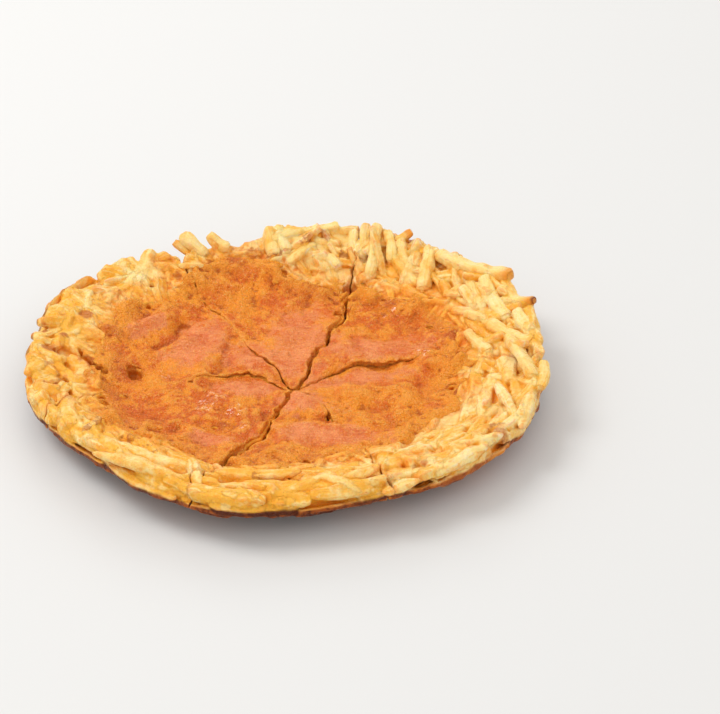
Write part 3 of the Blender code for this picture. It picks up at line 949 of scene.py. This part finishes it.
def alongFold(fold, block):
    # 1 along the middle of a fold, 0 away from it
    a, b = np.array(fold[:2], float), np.array(fold[2:4], float)
    length = np.linalg.norm(b - a)
    way = (b - a) / length
    along = (block.x - a[0]) * way[0] + (block.y - a[1]) * way[1]
    across = (block.x - a[0]) * way[1] - (block.y - a[1]) * way[0]
    past = np.maximum(np.maximum(-along, along - length), 0)
    across = across + foldLook["bend"] * block.lumps(foldLook["bendSize"], 5.5)
    across = across + foldLook["uneven"] * block.lumps(foldLook["unevenSize"], 1.5)
    width = fold[5]
    return np.exp(-(across / (width * foldLook["width"])) ** 2 - (past / (foldLook["end"] * width)) ** 2)


def turnedPlace(item, size, turn, block):
    # places about an item's own middle, along its turned axes, as shares of its half sizes
    x, y = block.x - item[0], block.y - item[1]
    cosine, sine = math.cos(math.radians(turn)), math.sin(math.radians(turn))
    return (x * cosine + y * sine) / size[0], (y * cosine - x * sine) / size[1]


def inArea(area, block):
    # 0 in the middle of a smooth area and 1 at its edge
    a, b = turnedPlace(area, area[2:4], area[4], block)
    return np.sqrt(a * a + b * b)


def awayFrom(hole, block):
    # distance from the middle of a hole, made uneven
    x, y, radius, *square = hole
    if not square:
        return np.hypot(block.x - x, block.y - y) + 0.4 * radius * block.holeEdge
    a, b = turnedPlace(hole, square[:2], square[2], block)
    return radius * ((a ** 4 + b ** 4) ** 0.25 + 0.16 * block.holeEdge)


def lipOf(cutName, side, distance):
    lip = cutStyle[cutName].get("lip")
    return curveThrough(lip["reach"], distance) if lip and lip["side"] == side else np.zeros_like(distance)


def cheeseTop(block, wedge, inside, lying, skin):
    # the height of the cheese's upper side above each column
    look = cheeseLook
    top = lying + look["sink"] + (look["thick"] - look["sink"]) * smoothStep(0, look["ramp"], inside) ** 0.8
    for fold in folds:
        top = top + fold[4] * alongFold(fold, block)
    for area in smoothAreas:
        top = top + area[5] * smoothStep(*look["swellingEdge"], inArea(area, block))
    uneven = (1 - look["calmer"] * skin) * (0.7 + 0.4 * smoothStep(34, 8, inside))
    top = top + look["swell"] * fractal(block.x, block.y, look["swellSize"], 9.5, 2)
    top = top + look["bump"] * fractal(block.x, block.y, look["bumpSize"], 0.5) * uneven
    pitted = fractal(block.x, block.y, look["pitSize"], 4.5, 2)
    top = top - look["pit"] * smoothStep(*look["pitFrom"], pitted) * uneven
    wide, narrow = look["wrinkleSize"]
    wrinkles = fineNoise((block.x + block.y) / wide, (block.y - block.x) / narrow, 6.5)
    top = top + look["wrinkle"] * wrinkles
    for (_, past, cutName), raised in zip(block.cutSides, wedge["edges"]):
        raised = raised * curveThrough(cutStyle[cutName]["step"], block.distance)
        raised = raised * np.exp(-(past / look["edgeWidth"]) ** 2)
        top = top + raised * (1 + look["edgeUneven"] * block.lumps(6, 8.5))
    return top


def cutCheese(block, field, inside, levels):
    # takes away what is past the two cuts, past the cheese's edge and in its holes
    across = roughCut(block, levels)
    for side, past, cutName in block.cutSides:
        torn = pastCut(block, cutName, side, past, cheeseGap)
        lip = lipOf(cutName, side, block.distance)
        step = curveThrough(cutStyle[cutName]["step"], block.distance)
        rounded = cheeseLook["cutRound"] * (1 + step) + lipLook["round"] * np.minimum(1, lip)
        rounded = np.maximum(rounded, cheeseLook["cutRound"])
        field = softMax(field, (torn - lip)[:, :, None] + side * across, rounded[:, :, None])
    field = softMax(field, -inside[:, :, None], cheeseLook["edgeRound"])
    for hole in holes:
        away = awayFrom(hole, block)
        if away.min() < hole[2]:
            field = softMax(field, (hole[2] - away)[:, :, None], cheeseLook["holeRound"])
    return field


def makeCheese(name, wedge, block, height):
    reach = max(1, round(cheeseLook["smoothOver"] / block.step))
    rough, smooth = boxBlur(height, reach), boxBlur(boxBlur(height, reach * 3), reach * 3)
    inside = block.cheeseDistance + cheeseLook["ragged"] * (block.lumps(7, 1.5) + 0.6 * block.lumps(2.8, 2.5))
    calm = smoothStep(cheeseLook["calmFrom"], cheeseLook["calmTo"], inside)
    skin = np.zeros_like(block.x)
    for area in smoothAreas:
        edge = inArea(area, block) + 0.35 * block.lumps(7, 7.5) + 0.4 * block.lumps(2.6, 9.5)
        skin = np.maximum(skin, smoothStep(*cheeseLook["skinEdge"], edge))
    lying = np.maximum(rough * (1 - calm) + smooth * calm, rough - cheeseLook["sharpest"])
    top = cheeseTop(block, wedge, inside, lying, skin)
    coat = cheeseLook["coatPast"] * smoothStep(*cheeseLook["coatRamp"], inside) - cheeseLook["coatLess"]
    top = np.where(inside > 0, softMax(top, height + cheeseLook["coat"] * coat, 0.8), top)
    bottom = np.minimum(top - cheeseLook["leastThick"], lying - cheeseLook["under"])
    for side, past, cutName in block.cutSides:
        if lipOf(cutName, side, block.distance).max() > 0:
            hanging = smoothStep(-0.8, 0.4, pastCut(block, cutName, side, past, cheeseGap))
            bottom = bottom + (top - lipLook["thick"] - bottom) * hanging
    low, high = float((bottom - 1.5)[inside > 0].min()), float((top + 2)[inside > 0].max())
    levels = np.arange(low, high, block.step)
    z = levels[None, None, :]
    field = cutCheese(block, softMax(z - top[:, :, None], bottom[:, :, None] - z, 0.5), inside, levels)
    points, quads, edges = netFrom(block, field, levels[0])
    points = relax(points, edges, 1)
    normals = normalsOf(points, quads)
    crumbly = smoothStep(0.9, 0.3, normals[:, 2]) * cheeseLook["crumble"]
    points = points + normals * (crumbly * fineNoise(*(points.T / cheeseLook["crumbleSize"])))[:, None]
    # How far the top stands above its blurred surroundings; the material paints highlight on ridges and shade
    # in valleys from it.
    relief = 0.7 * (top - boxBlur(top, reach * 2)) + 0.5 * (top - boxBlur(top, reach * 5))
    cutEdge = 0
    for _, past, cutName in block.cutSides:
        step = np.clip(curveThrough(cutStyle[cutName]["step"], block.distance), 0, 1)
        nearCut = smoothStep(-2.2, -0.2, block.sample(past, points))
        cutEdge = np.maximum(cutEdge, nearCut * block.sample(step, points))
    marks = {
        "inside": block.sample(inside, points), "relief": block.sample(relief, points), "cut": cutEdge,
        "side": smoothStep(0.75, 0.2, normals[:, 2]), "skin": block.sample(skin, points),
        "brown": spotted(cheeseSpots, points[:, 0], points[:, 1]), "bulge": bulgeOf(points, quads, edges),
        "wet": spotted(wetSpots, points[:, 0], points[:, 1]),
    }
    return addPiece(f"melted_{name}", rise(points, block, wedge), [], quads, marks)


def colour(red, green, blue):
    # from a 0 to 255 screen colour
    def linear(value):
        value /= 255
        return value / 12.92 if value <= 0.04045 else ((value + 0.055) / 1.055) ** 2.4
    return (linear(red), linear(green), linear(blue), 1)


class Wire:
    # a shader socket that can be used in sums
    def __init__(self, paint, socket):
        self.paint, self.socket = paint, socket

    def sum(self, operation, first, second):
        return self.paint.node("ShaderNodeMath", {"operation": operation}, {0: first, 1: second})

    def __add__(self, other):
        return self.sum("ADD", self, other)

    def __sub__(self, other):
        return self.sum("SUBTRACT", self, other)

    def __rsub__(self, other):
        return self.sum("SUBTRACT", other, self)

    def __mul__(self, other):
        return self.sum("MULTIPLY", self, other)

    __radd__ = __add__
    __rmul__ = __mul__


def feed(node, sockets):
    # gives a node's sockets their values or links
    for key, value in sockets.items():
        value = value.socket if isinstance(value, Wire) else value
        if isinstance(value, bpy.types.NodeSocket):
            node.id_data.links.new(value, node.inputs[key])
        else:
            node.inputs[key].default_value = value


def addNode(tree, kind, settings=None, sockets=None):
    made = tree.nodes.new(kind)
    for key, value in (settings or {}).items():
        setattr(made, key, value)
    feed(made, sockets or {})
    return made


class Paint:
    # one material, its nodes and the colour worked out so far
    def __init__(self, name, colours):
        self.material = bpy.data.materials.new(name)
        self.material.use_nodes = True
        self.tree = self.material.node_tree
        self.shader = self.tree.nodes["Principled BSDF"]
        self.place = self.node("ShaderNodeTexCoord", output="Object")
        self.colours = {key: colour(*parts) for key, parts in colours.items()}
        self.base = None

    def node(self, kind, settings=None, sockets=None, output=0):
        return Wire(self, addNode(self.tree, kind, settings, sockets).outputs[output])

    def mark(self, name):
        return self.node("ShaderNodeAttribute", {"attribute_name": name}, output="Fac")

    def noise(self, size, detail=2.0, roughness=0.5, distortion=0.0, stretch=None, turn=0.0):
        # size in millimetres; the stretch is a share along each axis, turned about the upright one
        place = self.place
        if stretch:
            place = self.node("ShaderNodeMapping", {}, {
                "Vector": place, "Scale": stretch, "Rotation": (0, 0, math.radians(turn)),
            })
        return self.node("ShaderNodeTexNoise", {}, {
            "Vector": place, "Scale": 1000 / size, "Detail": detail, "Roughness": roughness,
            "Distortion": distortion,
        }, "Fac")

    def between(self, value, low, high, toLow=0.0, toHigh=1.0):
        return self.node("ShaderNodeMapRange", {"interpolation_type": "SMOOTHSTEP"}, {
            "Value": value, "From Min": low, "From Max": high, "To Min": toLow, "To Max": toHigh,
        })

    def mix(self, factor, a, b):
        a, b = (self.colours[item] if isinstance(item, str) else item for item in (a, b))
        return self.node("ShaderNodeMix", {"data_type": "RGBA"}, {0: factor, 6: a, 7: b}, 2)

    def lay(self, factor, tint):
        # lays a colour over the base
        self.base = self.mix(factor, self.base, tint)

    def layWhere(self, value, low, high, tint, most=1.0):
        # lays a colour over the base, from none of it where the value is low to most where it is high
        self.lay(self.between(value, low, high, 0, most), tint)

    def bump(self, strength, distance, height):
        return self.node("ShaderNodeBump", {}, {
            "Strength": strength, "Distance": distance, "Height": height,
        }, "Normal")

    def finish(self, values):
        feed(self.shader, values)
        return self.material


# Some potato colours are painted light: the shade in gaps and creases, the shaded and lit copies of the
# cheese that ran over, and partly the palest colour as a highlight on convex places.
potatoColours = {
    "golden": (250, 182, 64), "pale": (255, 219, 141), "palest": (255, 233, 192),
    "deepGolden": (249, 170, 46), "creamy": (255, 230, 166), "creaseShade": (245, 155, 38), "deepCreaseShade": (216, 120, 24),
    "gap": (228, 136, 26), "deepGapShade": (176, 92, 14), "runShaded": (230, 126, 26), "runLit": (251, 172, 62),
    "fried": (239, 150, 46), "speck": (196, 112, 38), "brown": (190, 96, 24), "skin": (178, 100, 44),
    "tip": (236, 152, 52), "burntTip": (140, 66, 22), "char": (96, 40, 14), "crust": (170, 86, 26),
    "paleCrust": (218, 138, 50),
}
# Some cheese colours are painted light: a lighter colour on ridges as a painted highlight, a darker one in
# valleys as a painted shade, and the glints.
cheeseColours = {
    "dark": (227, 104, 10), "light": (253, 149, 30), "broadLight": (255, 153, 34), "broadDark": (222, 98, 10),
    "raised": (254, 164, 52), "edge": (251, 166, 50), "skinDark": (211, 103, 50), "skinLight": (229, 133, 82),
    "toast": (196, 80, 8), "creaseShade": (182, 76, 8), "speck": (176, 82, 20), "glint": (255, 192, 96),
    "tinyLight": (255, 172, 70), "tinyDark": (212, 92, 14), "lineLight": (244, 164, 104),
    "lineDark": (190, 84, 30), "torn": (238, 156, 58),
}


def potatoMaterial():
    p = Paint("friedPotato", potatoColours)
    tone, tint, cavity, bulge, tip = (p.mark(name) for name in ("tone", "tint", "cavity", "bulge", "tip"))
    patches, fine, specks, areas = p.noise(8, 3), p.noise(2.2, 4, 0.6), p.noise(1.3, 2), p.noise(13, 2)
    grain, area = fine - 0.5, areas - 0.5
    streaks = p.node("ShaderNodeTexNoise", {"noise_dimensions": "1D"}, {
        "W": 0.75 * p.mark("fibre") + 2.2 * p.noise(7, 2), "Scale": 1.0, "Detail": 2.0, "Roughness": 0.6,
    }, "Fac")
    # Convex places lean to the pale colour, a painted highlight, and dips to the golden one, a painted shade,
    # besides the shred's tone, patches, grain and streaks.
    pale = 0.2 * bulge + 0.6 * (0.5 - tone) + 1.0 * (patches - 0.5) + 1.1 * area
    pale = pale + 0.4 * grain + 1.1 * (streaks - 0.5)
    p.base = p.mix(p.between(pale, -0.5, 0.4), "golden", "pale")
    # The palest colour where pale is highest: partly a painted highlight on convex places, partly random
    # tone.
    p.layWhere(pale, 0.35, 0.85, "palest", 0.8)
    deepGolden = 0.6 * p.noise(5, 2) - 0.5 * area + 0.2 * grain - 0.03 * bulge
    p.lay(p.between(deepGolden, 0.31, 0.44) * 0.62, "deepGolden")
    p.lay(p.between(0.6 * p.noise(4.6, 2) + 0.5 * area + 0.2 * grain, 0.33, 0.44) * 0.45, "creamy")
    # Painted shade in the creases between shreds.
    p.layWhere(bulge + 1.5 * grain, -0.3, -2.4, "creaseShade", 0.65)
    p.layWhere(bulge + 1.2 * grain, -1.7, -3.6, "deepCreaseShade", 0.5)
    # Painted shade in the gaps, darkest where the mass closes round most.
    p.layWhere(cavity + 0.3 * grain, 0.5, 0.76, "gap", 0.8)
    p.layWhere(cavity, 0.66, 0.92, "deepGapShade", 0.85)
    runny = p.between(fine + 0.5 * (p.noise(4, 3) - 0.5), 0.36, 0.62, 0.35, 1.0)
    # The cheese that ran over the shreds is its own colour, laid as a painted shaded copy in dips and a
    # painted lit copy on bulges.
    p.lay(tint * runny, p.mix(p.between(bulge + 2 * grain, -0.8, 1.0), "runShaded", "runLit"))
    p.layWhere(bulge + 3 * (p.noise(3.4, 3) - 0.5) - 2 * (streaks - 0.5), 0.9, 2.1, "fried", 0.6)
    p.layWhere(specks, 0.67, 0.76, "speck", 0.45)
    p.layWhere(p.mark("brown") + 1.1 * grain + 0.5 * (patches - 0.5), 0.3, 0.95, "brown", 0.85)
    p.layWhere(p.mark("skin") + 1.6 * (p.noise(2.6, 3, 0.6) - 0.5), 0.5, 0.8, "skin", 0.7)
    p.layWhere(tip + 0.4 * grain, 0.1, 0.7, "tip", 0.8)
    p.layWhere(tip + 0.4 * grain, 0.8, 1.3, "burntTip", 0.9)
    char = 0.5 * fine + 0.7 * p.noise(17, 4) + 0.35 * streaks + 0.25 * (0.5 - tone) + 0.1 * bulge
    crust = p.mix(p.between(char, 0.62, 0.86), "char", "crust")
    p.lay(p.mark("crust"), p.mix(p.between(char, 0.84, 1.08), crust, "paleCrust"))
    return p.finish({
        "Base Color": p.base, "Roughness": p.between(fine, 0.3, 0.8, 0.24, 0.44),
        "Normal": p.bump(0.8, 0.0007, p.noise(0.9, 3, 0.6) + 1.2 * fine + 1.1 * streaks),
        "Subsurface Weight": 0.3, "Subsurface Radius": (1.0, 0.55, 0.2), "Subsurface Scale": 0.002,
        "Specular IOR Level": 0.18,
    })


def cheeseMaterial():
    p = Paint("meltedCheese", cheeseColours)
    inside, relief, skin, brown, bulge = (
        p.mark(name) for name in ("inside", "relief", "skin", "brown", "bulge")
    )
    patches, broad, fine = p.noise(12, 4), p.noise(24, 3), p.noise(3.0, 4, 0.65)
    grain, patch = fine - 0.5, patches - 0.5
    # How raised a point is; the ridges get a painted highlight and the valleys a painted shade.
    raised = bulge + 1.2 * relief
    p.base = p.mix(p.between(patches + 0.4 * grain, 0.42, 0.6), "dark", "light")
    p.layWhere(broad, 0.5, 0.62, "broadLight", 0.7)
    p.layWhere(broad, 0.5, 0.38, "broadDark", 0.6)
    # Painted highlight on the ridges.
    p.layWhere(raised + 2.4 * grain, 0.0, 1.7, "raised", 0.75)
    p.layWhere(inside + 14 * patch + 7 * grain, 20, -1, "edge", 0.75)
    smooth = p.mix(p.between(patches + 0.5 * grain, 0.35, 0.65), "skinDark", "skinLight")
    p.layWhere(skin + 1.4 * grain + 1.2 * patch, 0.2, 1.1, smooth, 0.85)
    p.layWhere(brown + 1.5 * grain + 1.0 * patch, 0.3, 1.0, "toast", 0.85)
    # Painted shade in the valleys.
    p.layWhere(raised + 1.6 * grain, -0.5, -3.0, "creaseShade", 0.85)
    p.layWhere(p.noise(1.1, 1), 0.69, 0.77, "speck", 0.6)
    p.layWhere(p.noise(1.1, 1, 0.5, 0.4), 0.62, 0.74, "glint", 0.6)
    tiny = p.noise(0.55, 1)
    p.layWhere(tiny, 0.5, 0.68, "tinyLight", 0.3)
    p.layWhere(tiny, 0.5, 0.32, "tinyDark", 0.3)
    lines = p.noise(0.9, 2, 0.6, stretch=(0.22, 1, 1), turn=-18)
    onSkin = p.between(skin, 0.1, 0.8)
    p.lay(p.between(lines, 0.5, 0.72, 0, 0.4) * onSkin, "lineLight")
    p.lay(p.between(lines, 0.46, 0.28, 0, 0.4) * onSkin, "lineDark")
    p.lay(p.mark("cut") * 0.25 + p.mark("side") * 0.25, "torn")
    wet = p.mark("wet") * p.between(p.noise(1.5, 1), 0.46, 0.6)
    height = (p.noise(0.8, 2) * 1.2 + p.noise(1.8, 3, 0.6) + 0.9 * fine) * (1 - 0.5 * skin)
    return p.finish({
        "Base Color": p.base, "Roughness": p.between(fine, 0.3, 0.7, 0.22, 0.45),
        "Normal": p.bump(1.0, 0.0013, height),
        "Subsurface Weight": 0.12, "Subsurface Radius": (1.0, 0.3, 0.08), "Subsurface Scale": 0.002,
        "Specular IOR Level": 0.3, "Coat Weight": p.between(wet, 0.3, 0.7), "Coat Roughness": 0.1,
    })


potatoPaint, cheesePaint = potatoMaterial(), cheeseMaterial()


def makeWedge(name, wedge):
    block = Block(wedge)
    field = coreField(block)
    nearest, owner, fibre = field.copy(), np.full(field.shape, -1, np.int16), np.zeros_like(field)
    for number in range(len(block.shreds)):
        stampShred(block, field, nearest, owner, fibre, number)
    potato = makePotato(name, wedge, block, field, owner, fibre)
    cheese = makeCheese(name, wedge, block, heightOf(block, field))
    for piece, node, slot, paint in (
        (potato, f"potato_{name}", "fried_potato", potatoPaint),
        (cheese, f"cheese_{name}", "melted_cheese", cheesePaint),
    ):
        piece.data.materials.append(paint)
        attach(piece, "root")
        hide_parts(node)
    print(f"made {name}: {len(potato.data.polygons) * 2} and {len(cheese.data.polygons) * 2} triangles")


for wedgeName, wedge in wedges.items():
    makeWedge(wedgeName, wedge)


# For the loose shreds, the cavity and bulge set how much painted shade and painted highlight their colour
# gets.
looseLook = {
    "corner": 0.26, "rough": 0.0009, "grain": 260.0, "profileHeight": 0.76, "sharpFrom": 0.9,
    "thinnerEnd": 0.28, "endLength": 1.6, "uneven": 0.09, "taper": 0.12,
    "cavity": 0.4, "bulge": 0.3, "brown": 0.7, "tint": 0.6,
}


def looseTree():
    # turns lines into shreds with rounded corners and a rough skin
    tree = bpy.data.node_groups.new("looseShreds", "GeometryNodeTree")
    _, corner, rough, finish, _ = (  # the geometry has to come first
        tree.interface.new_socket(name, in_out=way, socket_type=f"NodeSocket{kind}")
        for name, way, kind in (
            ("Geometry", "INPUT", "Geometry"), ("Corner", "INPUT", "Float"), ("Rough", "INPUT", "Float"),
            ("Material", "INPUT", "Material"), ("Geometry", "OUTPUT", "Geometry"),
        )
    )
    corner.default_value, rough.default_value = looseLook["corner"], looseLook["rough"]

    def node(kind, settings=None, sockets=None):
        return addNode(tree, kind, settings, sockets).outputs[0]

    def attribute(name):
        return node("GeometryNodeInputNamedAttribute", {"data_type": "FLOAT"}, {"Name": name})

    def maths(operation, *values):
        return node("ShaderNodeMath", {"operation": operation}, dict(enumerate(values)))

    given = addNode(tree, "NodeGroupInput").outputs
    line = node("GeometryNodeMeshToCurve", {}, {"Mesh": given["Geometry"]})
    upward = node("GeometryNodeSetCurveNormal", {"mode": "Z_UP"}, {"Curve": line})
    rolled = node("GeometryNodeSetCurveTilt", {}, {"Curve": upward, "Tilt": attribute("roll")})
    square = node("GeometryNodeCurvePrimitiveQuadrilateral", {"mode": "RECTANGLE"}, {
        "Width": 1.0, "Height": looseLook["profileHeight"],
    })
    rounded = node("GeometryNodeFilletCurve", {"mode": "POLY"}, {
        "Curve": square, "Count": 4, "Radius": given["Corner"],
    })
    place = addNode(tree, "ShaderNodeSeparateXYZ", {}, {0: node("GeometryNodeInputPosition")}).outputs
    sideways = maths("MULTIPLY_ADD", place[0], 6.0, place[1])
    marked = node("GeometryNodeStoreNamedAttribute", {"data_type": "FLOAT", "domain": "POINT"}, {
        "Geometry": rounded, "Name": "fibre", "Value": sideways,
    })
    strands = node("GeometryNodeCurveToMesh", {}, {
        "Curve": rolled, "Profile Curve": marked, "Scale": attribute("size"), "Fill Caps": True,
    })
    grain = node("ShaderNodeTexNoise", {}, {"Scale": looseLook["grain"], "Detail": 3.0})
    grain = maths("SUBTRACT", grain, 0.5)
    push = node("ShaderNodeVectorMath", {"operation": "SCALE"}, {
        0: node("GeometryNodeInputNormal"), "Scale": maths("MULTIPLY", grain, given["Rough"]),
    })
    pushed = node("GeometryNodeSetPosition", {}, {"Geometry": strands, "Offset": push})
    sharp = node("FunctionNodeCompare", {"operation": "GREATER_THAN"}, {
        0: node("GeometryNodeInputMeshEdgeAngle"), 1: looseLook["sharpFrom"],
    })
    softened = node("GeometryNodeSetShadeSmooth", {}, {"Geometry": pushed})
    smooth = node("GeometryNodeSetShadeSmooth", {"domain": "EDGE"}, {
        "Geometry": softened, "Selection": sharp, "Shade Smooth": False,
    })
    real = node("GeometryNodeRealizeInstances", {}, {"Geometry": smooth})
    painted = node("GeometryNodeSetMaterial", {}, {"Geometry": real, "Material": given["Material"]})
    addNode(tree, "NodeGroupOutput", {}, {"Geometry": painted})
    return tree, finish.identifier


def wedgeOf(shred):
    x, y = shred["points"].mean(0)[:2]
    for name, wedge in wedges.items():
        start, end, _ = cutSides(np.array([x]), np.array([y]), wedge)
        if max(start[0], end[0]) <= 0:
            return name


def looseMarks(shred, line, first):
    # what the node tree and the material need to know at each point of a line
    count, look = len(line), looseLook
    x, y, _ = line.T
    away = [np.linalg.norm(line - end, axis=1) for end in (line[0], line[-1])]
    thin = 1 - look["thinnerEnd"] * (1 - np.minimum(*away) / look["endLength"]).clip(0, 1) ** 2
    uneven = 1 + look["uneven"] * np.sin(np.arange(count) * 0.7 + first)
    uneven = uneven + look["taper"] * np.linspace(-1, 1, count) * math.sin(first)
    inner = aroundCurve(form["cheeseRadii"], polar(x, y)[1]) - np.hypot(x, y)
    browned = (amount * np.exp(-far / potatoLook["tipReach"]) for amount, far in zip(shred["tips"], away))
    marks = {
        "size": thin * shred["width"] * 2 * metresPerMillimetre * uneven, "tip": sum(browned),
        "roll": shred["roll"], "tone": shred["tone"], "skin": shred["skin"], "cavity": look["cavity"],
        "crust": 0, "bulge": look["bulge"], "brown": look["brown"] * spotted(potatoSpots, x, y),
        "tint": look["tint"] * smoothStep(-7, 5, inner),
    }
    return {key: np.broadcast_to(values, count) for key, values in marks.items()}


def makeLoose(name, shreds, tree, materialInput):
    lines = [shred["points"] + np.array([0, 0, wedges[name]["risen"]]) for shred in shreds]
    firsts = np.cumsum([0] + [len(line) for line in lines]).tolist()
    edges = [(i, i + 1) for first, last in zip(firsts, firsts[1:]) for i in range(first, last - 1)]
    marks = [looseMarks(*item) for item in zip(shreds, lines, firsts)]
    marks = {key: np.concatenate([item[key] for item in marks]) for key in marks[0]}
    made = addPiece("lines", np.concatenate(lines), edges, np.zeros((0, 4), int), marks)
    modifier = made.modifiers.new("shreds", "NODES")
    modifier.node_group = tree
    modifier[materialInput] = potatoPaint
    bpy.context.view_layer.update()
    finished = bpy.data.meshes.new_from_object(made.evaluated_get(bpy.context.evaluated_depsgraph_get()))
    bpy.data.objects.remove(made)
    piece = addObject(f"loose_{name}", finished)
    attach(piece, "root")


print("laying the loose shreds")
shredTree, shredMaterialInput = looseTree()
for wedgeName in wedges:
    mine = [shred for shred in looseShreds if wedgeOf(shred) == wedgeName]
    if mine:
        makeLoose(wedgeName, mine, shredTree, shredMaterialInput)


setting = {
    "floor": (221, 220, 218), "floorHalf": 6, "world": 0.86, "worldColour": (1.0, 0.995, 0.985, 1),
    "lamps": {  # place in metres, size and power
        "key": ((-1.0, 0.3, 1.4), 0.8, 12),
        "back": ((-0.2, 1.5, 1.0), 0.7, 3.5),
        "fill": ((0.5, -1.4, 1.3), 1.6, 3.5),
    },
    "cameraPlace": (0.0356, -1.0351, 0.7019), "cameraTilt": 56.7, "lens": 130, "sensor": 36,
}


def makeSetting():
    data, half = bpy.data.meshes.new("floor"), setting["floorHalf"]
    corners = [(x * half, y * half, 0) for x, y in ((-1, -1), (1, -1), (1, 1), (-1, 1))]
    data.from_pydata(corners, [], [(0, 1, 2, 3)])
    p = Paint("paleFloor", {"floor": setting["floor"]})
    data.materials.append(p.finish({
        "Base Color": p.colours["floor"], "Roughness": 0.9, "Specular IOR Level": 0.1,
    }))
    addObject("floor", data)
    world = bpy.data.worlds.new("studio")
    world.use_nodes = True
    sky = world.node_tree.nodes["Background"].inputs
    sky[0].default_value, sky[1].default_value = setting["worldColour"], setting["world"]
    bpy.context.scene.world = world
    for name, (place, size, power) in setting["lamps"].items():
        light = bpy.data.lights.new(name, "AREA")
        light.energy, light.size = power, size
        lamp = addObject(name, light)
        lamp.location = place
        lamp.rotation_euler = (-Vector(place)).to_track_quat("-Z", "Y").to_euler()
    camera = addObject("camera", bpy.data.cameras.new("camera"))
    camera.data.lens, camera.data.sensor_width = setting["lens"], setting["sensor"]
    camera.location = setting["cameraPlace"]
    camera.rotation_euler = (math.radians(setting["cameraTilt"]), 0, 0)
    bpy.context.scene.camera = camera
    bpy.context.scene.view_settings.view_transform = "Standard"


makeSetting()
print("done")
